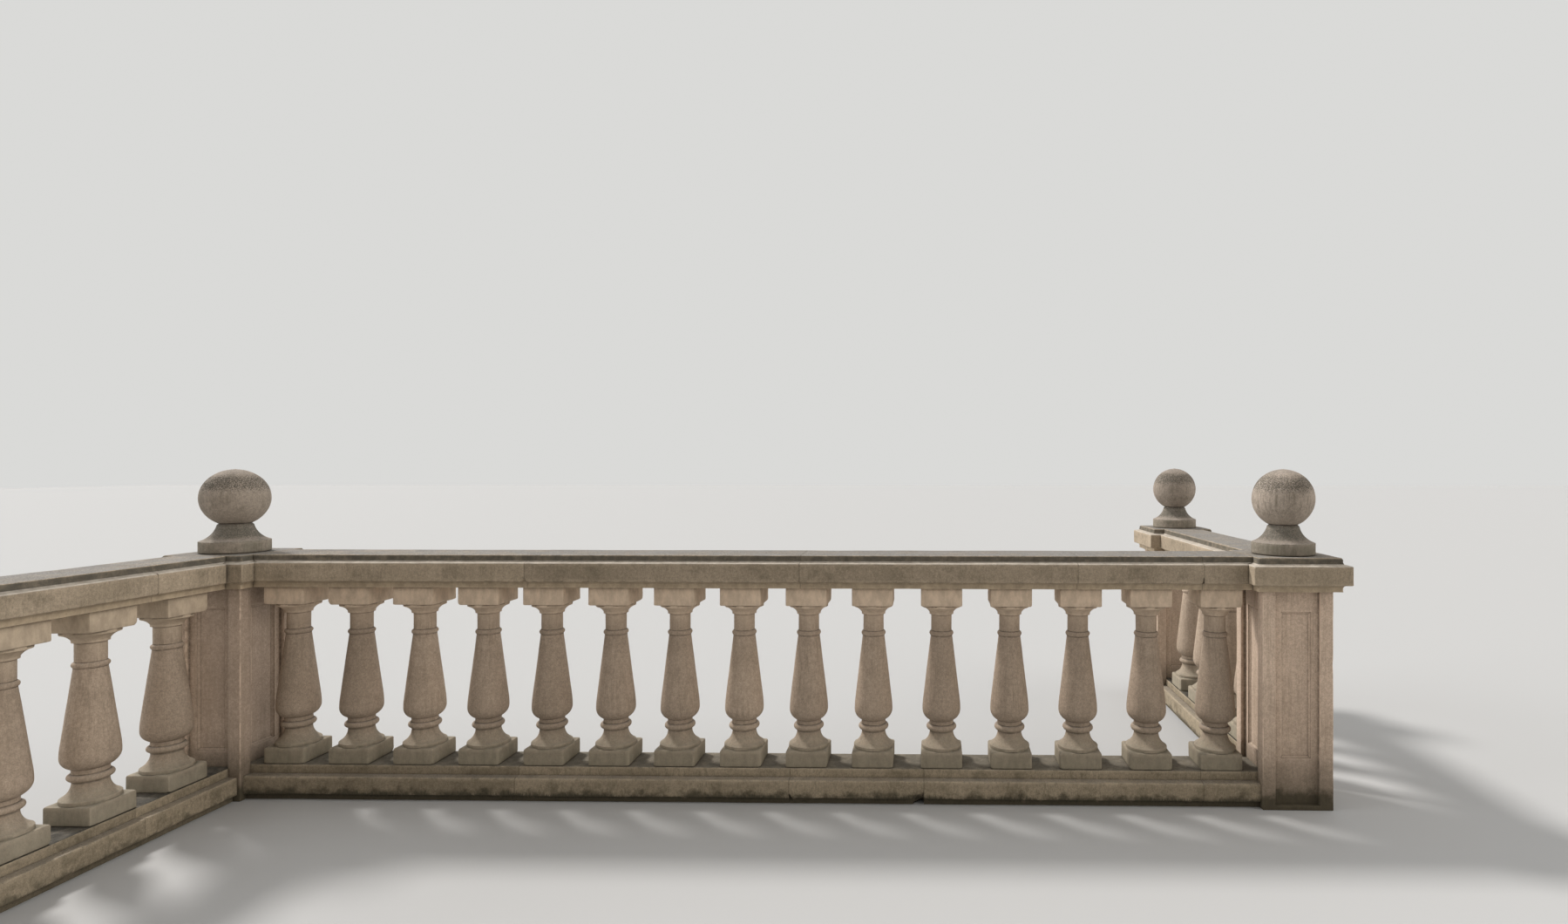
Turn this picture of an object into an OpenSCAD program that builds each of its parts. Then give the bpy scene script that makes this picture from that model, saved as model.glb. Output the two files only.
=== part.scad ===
// Stone balustrade: a main run with a wing coming forward at its left end and a return
// going back at its right end. Every run is a plinth, turned balusters and a moulded coping
// between square panelled piers, and each pier carries a moulded cap and a ball finial.
// X runs along the main run, Y goes back through it, and the ground is Z = 0.

/* [Main run] */
// Balusters in the main run
main_balusters = 15; // [7:1:21]
// Spacing of the balusters over most of the main run
main_pitch = 278.5; // [250:0.5:320]
// Spacing of the balusters next to the right pier, which were set out wider
wide_pitch = 291; // [250:0.5:320]
// Number of the wider spaces
wide_spaces = 5; // [0:1:6]
// Left pier axis to the first baluster axis
main_first = 281; // [270:1:340]
// Last baluster axis to the right pier axis
main_last = 288; // [270:1:340]

/* [Wing and return] */
// Balusters in the wing, which comes forward
wing_balusters = 8; // [3:1:12]
// Balusters in the return, which goes back
return_balusters = 4; // [2:1:12]
// Spacing of the balusters in the wing and the return
side_pitch = 296; // [250:1:330]
// Pier axis to the nearest baluster axis in the wing
wing_end = 319; // [270:1:360]
// Pier axis to the nearest baluster axis in the return
return_end = 325; // [270:1:360]

/* [Plinth] */
// Width of the plinth at its fascia
plinth_w = 260; // [220:2:300]
// Height of the plinth to the seat of the balusters
plinth_h = 139; // [110:1:170]
// Width of the upper step of the plinth
plinth_step_w = 184; // [176:1:210]
// Height of the upper step
plinth_step_h = 38; // [20:1:50]
// Height of the sunk foot below the fascia
plinth_foot_h = 26; // [10:1:40]
// How far the foot is set back behind the fascia
plinth_foot_in = 18; // [8:1:40]

/* [Baluster] */
// Height of a baluster from plinth to coping
baluster_h = 754; // [650:1:850]
// Side of the square block at its foot and at its head
block_w = 175; // [150:1:183]
// Height of the foot block
foot_block_h = 68; // [50:1:90]
// Height of the head block
head_block_h = 78; // [55:1:100]
// Radius of the bell above the foot block
bell_r = 85; // [70:0.5:87]
// Height of the bell's upright lip
bell_lip = 13; // [4:0.5:18]
// Height of the hollow that narrows the bell to the waist
bell_h = 49; // [36:1:60]
// Radius of the curve of that hollow
bell_hollow = 62; // [46:1:120]
// Radius of the waist under the lower ring
waist_r = 51.5; // [42:0.5:58]
// Radius of the lower ring at its widest
lower_ring_r = 65; // [59:0.5:76]
// Half height of the lower ring
lower_ring_half = 13.5; // [9:0.5:18]
// Radius of the band between the lower ring and the belly
band_r = 52.5; // [44:0.5:59]
// Height of that band
band_h = 16; // [8:0.5:22]
// Radius of the belly at its widest
belly_r = 82.5; // [72:0.5:87]
// Radius of the curve that turns the belly into the taper
shoulder_curve = 350; // [250:10:450]
// Radius of the shaft under the upper ring
taper_top_r = 47; // [38:0.5:50]
// Radius of the upper ring at its widest
upper_ring_r = 52.5; // [51:0.5:60]
// Half height of the upper ring
upper_ring_half = 12; // [8:0.5:15]
// Radius of the neck above the upper ring
neck_r = 44.5; // [38:0.5:49]
// Radius of the collar at the top of the neck
collar_r = 52; // [50:0.5:62]
// Height of the collar
collar_h = 8; // [5:0.5:12]
// Radius of the hollow moulding where it meets the head block
head_mould_r = 83; // [72:0.5:87]
// Height of that hollow moulding
head_mould_h = 23; // [16:1:30]
// Radius of the curve of that moulding
head_hollow = 50; // [32:1:90]

/* [Coping and caps] */
// Width of the coping at its fascia
coping_w = 278; // [250:2:310]
// Width of a pier cap at its fascia
cap_w = 398; // [370:2:430]
// Height of the bed mould under the fascia
bed_h = 29; // [20:1:40]
// Height of the fascia
fascia_h = 80; // [60:1:100]
// Height of the upper moulding over the fascia
crown_h = 30.5; // [22:0.5:40]
// How far the bed mould and the upper moulding sit in behind the fascia
moulding_in = 28; // [22:1:34]
// Radius of the hollow in both mouldings
hollow_r = 12; // [8:0.5:16]
// Fall of the ledges beside the hollows
ledge_fall = 2; // [1:0.5:4]

/* [Piers] */
// Side of a pier
pier_w = 288; // [270:1:310]
// Width of the raised strips at the corners
strip_w = 55; // [40:1:70]
// How far the strips stand out from the field
strip_out = 20; // [10:1:28]
// Height of the sill under the field
sill_h = 20; // [12:1:40]
// Margin of the field around the sunk panel
panel_margin = 28; // [18:1:40]
// Depth of the sunk panel
panel_in = 10.5; // [6:0.5:20]
// Width of the bevel round the sunk panel
panel_bevel = 9; // [4:0.5:16]
// Height of the sunk panel's lower edge
panel_bottom = 206; // [150:1:260]
// Distance from the sunk panel's upper edge to the cap
panel_top_in = 87; // [60:1:140]

/* [Finials] */
// Diameter of the ball
ball_d = 250; // [220:1:280]
// How much wider than the ball the round base disc is
disc_over = 2; // [-10:1:30]
// Thickness of the base disc
disc_h = 52; // [36:1:70]
// Radius of the finial's neck
finial_neck_r = 64; // [52:1:72]
// Height of the neck above the base disc
finial_neck_h = 66; // [50:1:80]
// Radius of the hollow between disc and neck
finial_hollow = 90; // [62:1:130]
// Radius of the flat bed under the ball
ball_bed_r = 58; // [46:1:60]

/* [Stone lengths] */
// Usual length of a plinth or coping stone
stone_l = 1149; // [950:1:1250]
// Last coping joint of the main run to the right pier axis
coping_last = 377.5; // [300:0.5:450]
// Length of the coping stone before the last one
coping_short = 515; // [400:1:600]
// Last plinth joint of the main run to the right pier axis
plinth_last = 377.5; // [300:0.5:450]
// Length of the short plinth stone in the middle
plinth_short = 560; // [400:1:700]
// First coping joint of the wing from the left pier axis
wing_coping_joint = 500; // [420:1:600]
// First plinth joint of the wing from the left pier axis
wing_plinth_joint = 542; // [420:1:600]

/* [Hidden] */
stone = [0.80, 0.76, 0.69];
aged_stone = [0.68, 0.65, 0.58];
arc_steps = 8;
turned_sides = 48;
finial_sides = 64;

// lengths between pier axes
close_spaces = main_balusters - 1 - wide_spaces;
main_l = main_first + close_spaces * main_pitch + wide_spaces * wide_pitch + main_last;
wing_l = 2 * wing_end + (wing_balusters - 1) * side_pitch;
return_l = 2 * return_end + (return_balusters - 1) * side_pitch;

// pier axes, with the whole layout centred on the origin
left_x = -main_l / 2;
right_x = main_l / 2;
run_y = (wing_l - return_l) / 2;
wing_y = run_y - wing_l;
far_y = run_y + return_l;

// levels above the ground
plinth_ledge_z = plinth_h - plinth_step_h;
soffit_z = plinth_h + baluster_h;
fascia_z = soffit_z + bed_h;
ledge_z = fascia_z + fascia_h;
rail_z = ledge_z + crown_h;
disc_z = rail_z + disc_h;
bed_lip = 6;
bed_z = disc_z + finial_neck_h + bed_lip;
ball_z = bed_z + sqrt(pow(ball_d / 2, 2) - pow(ball_bed_r, 2));

// the base disc and its soft upper edge
disc_d = ball_d + disc_over;
rim_in = 5;
rim_drop = 2;

// heights within a baluster, lower ones from its foot and upper ones from its head
bell_z = foot_block_h + bell_lip;
waist_z = bell_z + bell_h;
waist_l = 10.5;
lower_ring_z = waist_z + waist_l + lower_ring_half;
belly_start_z = lower_ring_z + lower_ring_half + band_h;
belly_rise = 44;
belly_z = belly_start_z + belly_rise;
head_z = baluster_h - head_block_h;
head_lip = 11;
collar_z = head_z - head_lip - head_mould_h - collar_h;
collar_splay = 2;
neck_l = 67;
upper_ring_z = collar_z - collar_splay - neck_l - upper_ring_half;
taper_top_z = upper_ring_z - upper_ring_half;

// points along an arc, angles anticlockwise from the first axis
function arc(cx, cy, r, from, to, steps = arc_steps) =
    [for (i = [0:steps]) let (a = from + (to - from) * i / steps) [cx + r * cos(a), cy + r * sin(a)]];

// points along a hollow of radius r that leaves one point and climbs to another
function hollow_curve(from, to, r) =
    let (
        chord = norm(to - from),
        lean = atan2(to[1] - from[1], to[0] - from[0]),
        back = sqrt(r * r - chord * chord / 4),
        centre = (from + to) / 2 + back * [sin(lean), -cos(lean)],
        first = atan2(from[1] - centre[1], from[0] - centre[0]),
        last = atan2(to[1] - centre[1], to[0] - centre[0])
    )
    arc(centre[0], centre[1], r, (first + 360) % 360, (last + 360) % 360);

// the mirrored outline of a half outline given from bottom to top
function both_sides(half) =
    concat(half, [for (i = [len(half) - 1:-1:0]) [-half[i][0], half[i][1]]]);

// half of the coping or cap section: bed mould, fascia, ledge and upper moulding
function rail_half(w) =
    let (out = w / 2, in = out - moulding_in)
    concat(
        [[in, soffit_z]],
        arc(in + hollow_r, fascia_z - ledge_fall - hollow_r, hollow_r, 180, 90),
        [[out, fascia_z], [out, ledge_z]],
        arc(in + hollow_r, ledge_z + ledge_fall + hollow_r, hollow_r, 270, 180),
        [[in, rail_z]]
    );

function plinth_half() =
    let (out = plinth_w / 2, foot = out - plinth_foot_in, step = plinth_step_w / 2)
    [
        [foot, 0],
        [foot, plinth_foot_h],
        [out, plinth_foot_h],
        [out, plinth_ledge_z],
        [step, plinth_ledge_z + ledge_fall],
        [step, plinth_h]
    ];

// half profile of a baluster's turned part, from foot block to head block
function lower_ring_arc() =
    let (
        c = lower_ring_r - lower_ring_half,
        low = acos((waist_r - c) / lower_ring_half),
        high = acos((band_r - c) / lower_ring_half)
    )
    arc(c, lower_ring_z, lower_ring_half, -low, high);

function belly_arc() =
    let (dr = belly_r - band_r, dz = belly_z - belly_start_z, r = (dr * dr + dz * dz) / (2 * dr))
    arc(belly_r - r, belly_z, r, -asin(dz / r), 0);

// the shoulder curve ends where the straight taper is its tangent
function shoulder_arc() =
    let (
        cx = belly_r - shoulder_curve,
        dx = taper_top_r - cx,
        dz = taper_top_z - belly_z,
        reach = sqrt(dx * dx + dz * dz),
        end = atan2(dz, dx) - acos(shoulder_curve / reach)
    )
    arc(cx, belly_z, shoulder_curve, 0, end);

function upper_ring_arc() =
    let (
        c = upper_ring_r - upper_ring_half,
        low = acos((taper_top_r - c) / upper_ring_half),
        high = acos((neck_r - c) / upper_ring_half)
    )
    arc(c, upper_ring_z, upper_ring_half, -low, high);

function turned_profile() =
    concat(
        [[0, foot_block_h], [bell_r, foot_block_h]],
        hollow_curve([bell_r, bell_z], [waist_r, waist_z], bell_hollow),
        lower_ring_arc(),
        belly_arc(),
        shoulder_arc(),
        upper_ring_arc(),
        [[neck_r, collar_z - collar_splay], [collar_r, collar_z]],
        hollow_curve([collar_r, collar_z + collar_h], [head_mould_r, head_z - head_lip], head_hollow),
        [[head_mould_r, head_z], [0, head_z]]
    );

// one baluster standing on the plinth
module baluster(x, y) {
    translate([x, y, plinth_h]) {
        translate([-block_w / 2, -block_w / 2, 0])
            cube([block_w, block_w, foot_block_h]);
        rotate_extrude($fn = turned_sides)
            polygon(turned_profile());
        translate([-block_w / 2, -block_w / 2, head_z])
            cube([block_w, block_w, head_block_h]);
    }
}

// distance of a main run baluster from the left pier axis, counted from zero
function main_at(i) =
    main_first + min(i, close_spaces) * main_pitch + max(0, i - close_spaces) * wide_pitch;

// balusters of the main run, first and last counted from zero at the left
module main_group(first, last) {
    for (i = [first:last])
        baluster(left_x + main_at(i), run_y);
}

// balusters of the wing, counted from the left pier towards the front
module wing_group(first, last) {
    for (i = [first:last])
        baluster(left_x, run_y - wing_end - i * side_pitch);
}

// a straight length of any section along X or along Y
module length_x(half, x0, x1) {
    translate([x0, run_y, 0])
        rotate([90, 0, 90])
            linear_extrude(x1 - x0)
                polygon(both_sides(half));
}

module length_y(half, x, y0, y1) {
    translate([x, y1, 0])
        rotate([90, 0, 0])
            linear_extrude(y1 - y0)
                polygon(both_sides(half));
}

// section of a sunk panel across or along a pier's face, from the level of the strips inwards
function panel_section(l) =
    [[strip_out, 0], [0, 0], [-panel_in, panel_bevel], [-panel_in, l - panel_bevel], [0, l], [strip_out, l]];

// what is cut from a pier's face for its panel, with the bevels meeting in mitres
module panel_recess(w, l) {
    intersection() {
        translate([0, -w / 2, 0])
            linear_extrude(l)
                polygon(panel_section(w));
        translate([0, w / 2, 0])
            rotate([90, 0, 0])
                linear_extrude(w)
                    polygon(panel_section(l));
    }
}

// the body of a pier, with raised corner strips, a sill and a sunk panel on every face
module pier_shaft(x, y) {
    field_w = pier_w - 2 * strip_w;
    panel_w = field_w - 2 * panel_margin;
    core_w = pier_w - 2 * strip_out;
    panel_l = soffit_z - panel_top_in - panel_bottom;
    translate([x, y, 0])
        difference() {
            union() {
                linear_extrude(soffit_z)
                    difference() {
                        square(pier_w, center = true);
                        for (a = [0:90:270])
                            rotate(a)
                                translate([core_w / 2, -field_w / 2])
                                    square([strip_out + 1, field_w]);
                    }
                translate([-pier_w / 2, -pier_w / 2, 0])
                    cube([pier_w, pier_w, sill_h]);
            }
            for (a = [0:90:270])
                rotate(a)
                    translate([core_w / 2, 0, panel_bottom])
                        panel_recess(panel_w, panel_l);
        }
}

// a cap: the rail section run along X and along Y, meeting in mitres at the corners
module pier_cap(x, y) {
    translate([x - left_x, 0, 0])
        intersection() {
            length_y(rail_half(cap_w), left_x, y - cap_w / 2, y + cap_w / 2);
            translate([0, y - run_y, 0])
                length_x(rail_half(cap_w), left_x - cap_w / 2, left_x + cap_w / 2);
        }
}

// base disc and hollow neck of a finial, with a flat bed for the ball
module finial_base(x, y) {
    neck_z = disc_h + finial_neck_h;
    rim_r = disc_d / 2 - rim_in;
    translate([x, y, rail_z])
        rotate_extrude($fn = finial_sides)
            polygon(concat(
                [[0, 0], [disc_d / 2, 0], [disc_d / 2, disc_h - rim_drop]],
                hollow_curve([rim_r, disc_h], [finial_neck_r, neck_z], finial_hollow),
                [[ball_bed_r, bed_z - rail_z], [0, bed_z - rail_z]]
            ));
}

// a ball, cut flat where it beds on the neck
module finial_ball(x, y) {
    difference() {
        translate([x, y, ball_z])
            sphere(d = ball_d, $fn = finial_sides);
        translate([x - ball_d / 2, y - ball_d / 2, bed_z - ball_d])
            cube([ball_d, ball_d, ball_d]);
    }
}

// coping stones: straight lengths, scribed to the moulded sides of the caps they meet
module main_run_coping(x0, x1) {
    difference() {
        length_x(rail_half(coping_w), left_x + x0, left_x + x1);
        pier_cap(left_x, run_y);
        pier_cap(right_x, run_y);
    }
}

module wing_run_coping(y0, y1) {
    difference() {
        length_y(rail_half(coping_w), left_x, run_y - y1, run_y - y0);
        pier_cap(left_x, run_y);
        pier_cap(left_x, wing_y);
    }
}

// plinth stones: straight lengths, let in between the corner strips of the piers
module main_run_plinth(x0, x1) {
    difference() {
        length_x(plinth_half(), left_x + x0, left_x + x1);
        pier_shaft(left_x, run_y);
        pier_shaft(right_x, run_y);
    }
}

module wing_run_plinth(y0, y1) {
    difference() {
        length_y(plinth_half(), left_x, run_y - y1, run_y - y0);
        pier_shaft(left_x, run_y);
        pier_shaft(left_x, wing_y);
    }
}

// where the first and last stones of a run end, from the pier axis
plinth_in = pier_w / 2 - strip_out;
coping_in = cap_w / 2 - moulding_in;

// joints of the main run, worked back from the right and given from the left pier axis
coping_4 = main_l - coping_last;
coping_3 = coping_4 - coping_short;
coping_2 = coping_3 - stone_l;
coping_1 = coping_2 - stone_l;
plinth_4 = main_l - plinth_last;
plinth_3 = plinth_4 - stone_l;
plinth_2 = plinth_3 - plinth_short;
plinth_1 = plinth_2 - stone_l;

// balusters to a group
main_third = floor(main_balusters / 3);
wing_half = floor(wing_balusters / 2);

module wing_end_pier() {
    color(stone)
        pier_shaft(left_x, wing_y);
}

module wing_end_cap() {
    color(aged_stone)
        pier_cap(left_x, wing_y);
}

module wing_end_finial_base() {
    color(aged_stone)
        finial_base(left_x, wing_y);
}

module wing_end_finial_ball() {
    color(aged_stone)
        finial_ball(left_x, wing_y);
}

module left_pier() {
    color(stone)
        pier_shaft(left_x, run_y);
}

module left_cap() {
    color(aged_stone)
        pier_cap(left_x, run_y);
}

module left_finial_base() {
    color(aged_stone)
        finial_base(left_x, run_y);
}

module left_finial_ball() {
    color(aged_stone)
        finial_ball(left_x, run_y);
}

module right_pier() {
    color(stone)
        pier_shaft(right_x, run_y);
}

module right_cap() {
    color(aged_stone)
        pier_cap(right_x, run_y);
}

module right_finial_base() {
    color(aged_stone)
        finial_base(right_x, run_y);
}

module right_finial_ball() {
    color(aged_stone)
        finial_ball(right_x, run_y);
}

module far_pier() {
    color(stone)
        pier_shaft(right_x, far_y);
}

module far_cap() {
    color(aged_stone)
        pier_cap(right_x, far_y);
}

module far_finial_base() {
    color(aged_stone)
        finial_base(right_x, far_y);
}

module far_finial_ball() {
    color(aged_stone)
        finial_ball(right_x, far_y);
}

module main_plinth_1() {
    color(stone)
        main_run_plinth(plinth_in, plinth_1);
}

module main_plinth_2() {
    color(stone)
        main_run_plinth(plinth_1, plinth_2);
}

module main_plinth_3() {
    color(stone)
        main_run_plinth(plinth_2, plinth_3);
}

module main_plinth_4() {
    color(stone)
        main_run_plinth(plinth_3, plinth_4);
}

module main_plinth_5() {
    color(stone)
        main_run_plinth(plinth_4, main_l - plinth_in);
}

module wing_plinth_1() {
    color(stone)
        wing_run_plinth(plinth_in, wing_plinth_joint);
}

module wing_plinth_2() {
    color(stone)
        wing_run_plinth(wing_plinth_joint, wing_plinth_joint + stone_l);
}

module wing_plinth_3() {
    color(stone)
        wing_run_plinth(wing_plinth_joint + stone_l, wing_l - plinth_in);
}

module return_plinth() {
    color(stone)
        difference() {
            length_y(plinth_half(), right_x, run_y + plinth_in, far_y - plinth_in);
            pier_shaft(right_x, run_y);
            pier_shaft(right_x, far_y);
        }
}

module main_coping_1() {
    color(aged_stone)
        main_run_coping(coping_in, coping_1);
}

module main_coping_2() {
    color(aged_stone)
        main_run_coping(coping_1, coping_2);
}

module main_coping_3() {
    color(aged_stone)
        main_run_coping(coping_2, coping_3);
}

module main_coping_4() {
    color(aged_stone)
        main_run_coping(coping_3, coping_4);
}

module main_coping_5() {
    color(aged_stone)
        main_run_coping(coping_4, main_l - coping_in);
}

module wing_coping_1() {
    color(aged_stone)
        wing_run_coping(coping_in, wing_coping_joint);
}

module wing_coping_2() {
    color(aged_stone)
        wing_run_coping(wing_coping_joint, wing_coping_joint + stone_l);
}

module wing_coping_3() {
    color(aged_stone)
        wing_run_coping(wing_coping_joint + stone_l, wing_l - coping_in);
}

module return_coping() {
    color(aged_stone)
        difference() {
            length_y(rail_half(coping_w), right_x, run_y + coping_in, far_y - coping_in);
            pier_cap(right_x, run_y);
            pier_cap(right_x, far_y);
        }
}

module main_balusters_left() {
    color(stone)
        main_group(0, main_third - 1);
}

module main_balusters_middle() {
    color(stone)
        main_group(main_third, main_balusters - main_third - 1);
}

module main_balusters_right() {
    color(stone)
        main_group(main_balusters - main_third, main_balusters - 1);
}

module wing_balusters_back() {
    color(stone)
        wing_group(0, wing_half - 1);
}

module wing_balusters_front() {
    color(stone)
        wing_group(wing_half, wing_balusters - 1);
}

module return_balusters() {
    color(stone)
        for (i = [0:return_balusters - 1])
            baluster(right_x, run_y + return_end + i * side_pitch);
}

wing_end_pier();
wing_end_cap();
wing_end_finial_base();
wing_end_finial_ball();
left_pier();
left_cap();
left_finial_base();
left_finial_ball();
right_pier();
right_cap();
right_finial_base();
right_finial_ball();
far_pier();
far_cap();
far_finial_base();
far_finial_ball();
main_plinth_1();
main_plinth_2();
main_plinth_3();
main_plinth_4();
main_plinth_5();
wing_plinth_1();
wing_plinth_2();
wing_plinth_3();
return_plinth();
main_coping_1();
main_coping_2();
main_coping_3();
main_coping_4();
main_coping_5();
wing_coping_1();
wing_coping_2();
wing_coping_3();
return_coping();
main_balusters_left();
main_balusters_middle();
main_balusters_right();
wing_balusters_back();
wing_balusters_front();
return_balusters();
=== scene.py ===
"""Stone balustrade: turned balusters between a plinth and a moulded coping, with panelled piers,
moulded caps and ball finials. Every stone is its own mesh, eased at the arrises, chipped at the
joints and weathered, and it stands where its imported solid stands."""

import math

import bpy
import numpy as np
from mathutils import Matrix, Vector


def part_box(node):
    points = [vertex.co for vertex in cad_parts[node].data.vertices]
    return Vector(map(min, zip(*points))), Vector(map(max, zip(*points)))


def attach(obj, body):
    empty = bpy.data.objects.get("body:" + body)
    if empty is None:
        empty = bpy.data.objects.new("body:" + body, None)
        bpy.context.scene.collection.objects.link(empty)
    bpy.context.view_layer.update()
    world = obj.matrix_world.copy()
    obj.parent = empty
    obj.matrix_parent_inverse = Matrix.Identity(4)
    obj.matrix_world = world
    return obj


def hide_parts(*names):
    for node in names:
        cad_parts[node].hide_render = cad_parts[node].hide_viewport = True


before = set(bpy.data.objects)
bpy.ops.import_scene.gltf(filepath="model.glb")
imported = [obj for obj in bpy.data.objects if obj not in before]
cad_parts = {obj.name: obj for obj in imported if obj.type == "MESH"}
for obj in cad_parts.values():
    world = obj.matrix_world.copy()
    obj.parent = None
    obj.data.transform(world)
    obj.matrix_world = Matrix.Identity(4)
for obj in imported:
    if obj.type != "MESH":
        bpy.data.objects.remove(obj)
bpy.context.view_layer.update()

# Levels above the ground, in metres
PLINTH_TOP = 0.139
SOFFIT = 0.893
FASCIA_FOOT = 0.922
LEDGE = 1.002
RAIL_TOP = 1.0325

# Sections of the runs
PLINTH_HALF = 0.130
PLINTH_STEP_HALF = 0.092
PLINTH_LEDGE = 0.101
PLINTH_FOOT = 0.026
PLINTH_FOOT_IN = 0.018
COPING_HALF = 0.139
CAP_HALF = 0.199
MOULDING_IN = 0.028
CAP_TOP_HALF = CAP_HALF - MOULDING_IN
HOLLOW = 0.012
LEDGE_FALL = 0.002

# Piers, with the panel's moulding as steps inwards from its edge and how deep each is
PIER_HALF = 0.144
PIER_CORNER = 0.0050
FIELD_HALF = 0.089
STRIP_OUT = 0.020
SILL = 0.020
PANEL_HALF = 0.061
PANEL_FOOT = 0.206
PANEL_HEAD = 0.806
PANEL_MOULD_IN = [0, 0.0010, 0.0024, 0.0075, 0.0090]
PANEL_MOULD_DEEP = [0, 0.0030, 0.0040, 0.0095, 0.0105]

# Balusters, from foot to head, with heights from the foot of each. SEAM is the small step between
# a block and the turned part
BALUSTER_H = 0.754
BLOCK_HALF = 0.0875
FOOT_BLOCK = 0.068
HEAD_BLOCK = 0.078
SEAM = 0.0004
BELL_R = 0.085
BELL_LIP = 0.013
BELL_H = 0.049
BELL_HOLLOW = 0.062
WAIST_R = 0.0515
WAIST_H = 0.0105
LOWER_RING_R = 0.065
LOWER_RING_HALF = 0.0135
BAND_R = 0.0525
BAND_H = 0.016
BELLY_R = 0.0825
BELLY_RISE = 0.044
SHOULDER_R = 0.350
TAPER_R = 0.047
UPPER_RING_R = 0.0525
UPPER_RING_HALF = 0.012
NECK_R = 0.0445
NECK_H = 0.067
COLLAR_R = 0.052
COLLAR_H = 0.008
COLLAR_SPLAY = 0.002
HEAD_MOULD_R = 0.083
HEAD_MOULD_H = 0.023
HEAD_HOLLOW = 0.050
HEAD_LIP = 0.011

# Finials
BALL_R = 0.125
DISC_R = 0.126
DISC_H = 0.052
FINIAL_NECK_R = 0.064
FINIAL_NECK = 0.118
FINIAL_HOLLOW = 0.090
BALL_BED = 0.124
BALL_BED_R = 0.058
FINIAL_SIDES = 72

# How far an arris is rounded where it is sharp and where it is worn
SHARP = 0.0030
WORN = 0.0085

# The eased edge of a pier's strips and sill: steps back from it, and how far each is taken in
EDGE_BACK = (0.0008, 0.0018, 0.0036)
EDGE_IN = (0.0030, 0.0010, 0)

# What counts as an arris on a pier: places this far back from such an edge, and this far inside
# the edge of a panel
EDGE_MARK = (0.0004, 0.0030)
PANEL_MARK = (-0.0025, 0.0006)

# Unevenness of every face: depth and grain of its broad and fine swells, and how far it is set in
BROAD_SWELL, BROAD_GRAIN = 0.0007, 0.21
FINE_SWELL, FINE_GRAIN = 0.0004, 0.048
SET_IN = 0.0010

# Chips: the least and the most of half their length, and of their depth
EDGE_CHIP = ((0.005, 0.020), (0.0015, 0.0048))
JOINT_CHIP = ((0.006, 0.016), (0.003, 0.006))
CAP_CORNER_CHIP = ((0.008, 0.022), (0.003, 0.007))
CAP_EDGE_CHIP = ((0.008, 0.022), (0.002, 0.0045))
PIER_CHIP = ((0.008, 0.022), (0.0015, 0.0040))
BLOCK_CHIP_HALF = 0.030
BLOCK_CHIP_DEPTH = (0.003, 0.008)

# Joints: how far their arrises sink, the gap at a cap, with its mortar and without, and how far
# along a stone the cut to the cap's outline fades away
JOINT_SINK = 0.0017
CAP_GAP = 0.0012
OPEN_GAP = 0.0045
CUT_FADE = 0.14

# Rings near the end of a run's stone, as steps from it
END_STEPS = [0.0, 0.0018, 0.0045, 0.009, 0.016, 0.026, 0.040]

# How dirty the ring next to a joint is, and the second ring where the mortar is gone
JOINT_DIRT = 0.08
OPEN_DIRT = 0.4

# How close rings and points that are added for detail come to their neighbours
CLOSEST = 0.0035

# How sharply a surface turns inwards where dirt and painted shade begin to darken it, and by how much more
# they are full
HOLLOW_FROM = 0.16
HOLLOW_FULL = 0.55

UP = np.array((0.0, 0.0, 1.0))
QUARTERS = ((1, 0), (0, 1), (-1, 0), (0, -1))


# Hand work: unevenness, wear and chips. Seeds are whole numbers, spread so that no two stones match


def lattice(places, seed):
    """A fixed random number from 0 to 1 for each of some places given in whole numbers."""
    primes = np.array((374761393, 668265263, 2246822519), dtype=np.uint32)
    mixed = (places.astype(np.int64).astype(np.uint32) * primes).sum(axis=-1, dtype=np.uint32)
    mixed = mixed + np.uint32((seed * 40503 + 17) % 2**32)
    mixed = (mixed ^ (mixed >> np.uint32(13))) * np.uint32(1274126177)
    return (mixed ^ (mixed >> np.uint32(16))) / (2**32 - 1)


def wander(points, grain, seed):
    """Smooth unevenness from -1 to 1 over the given grain size in metres."""
    scaled = np.asarray(points, dtype=float) / grain
    low = np.floor(scaled)
    part = scaled - low
    part = part * part * (3 - 2 * part)
    total = 0
    for corner in np.ndindex(2, 2, 2):
        weight = np.where(corner, part, 1 - part).prod(axis=-1)
        total = total + weight * lattice(low + corner, seed)
    return total * 2 - 1


def wear_at(points, usual, grains, seeds):
    """How worn a stone is at each point, from 0 to 1, about the usual amount."""
    broad, fine = (wander(points, grain, seed) for grain, seed in zip(grains, seeds))
    return np.clip(usual + 0.5 * broad + 0.35 * fine, 0, 1)


def unit(vectors):
    """Vectors brought to a length of 1, where they have a length."""
    size = np.linalg.norm(vectors, axis=-1, keepdims=True)
    return np.divide(vectors, size, out=np.zeros_like(vectors), where=size > 1e-12)


def grid_normals(grid):
    """Outward directions of a grid whose rows are closed rings."""
    around = np.roll(grid, -1, axis=1) - np.roll(grid, 1, axis=1)
    along = np.empty_like(grid)
    along[1:-1] = grid[2:] - grid[:-2]
    along[0] = grid[1] - grid[0]
    along[-1] = grid[-1] - grid[-2]
    return unit(np.cross(around, along))


def roughened(grid, seed):
    """Takes the sides of a stone in by up to 2 mm, unevenly, as casting and weather leave them."""
    normals = grid_normals(grid)
    normals[0], normals[-1] = 0, 0
    move = BROAD_SWELL * wander(grid, BROAD_GRAIN, seed) + FINE_SWELL * wander(grid, FINE_GRAIN, seed + 1)
    return grid + normals * (move - SET_IN)[..., None]


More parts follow.
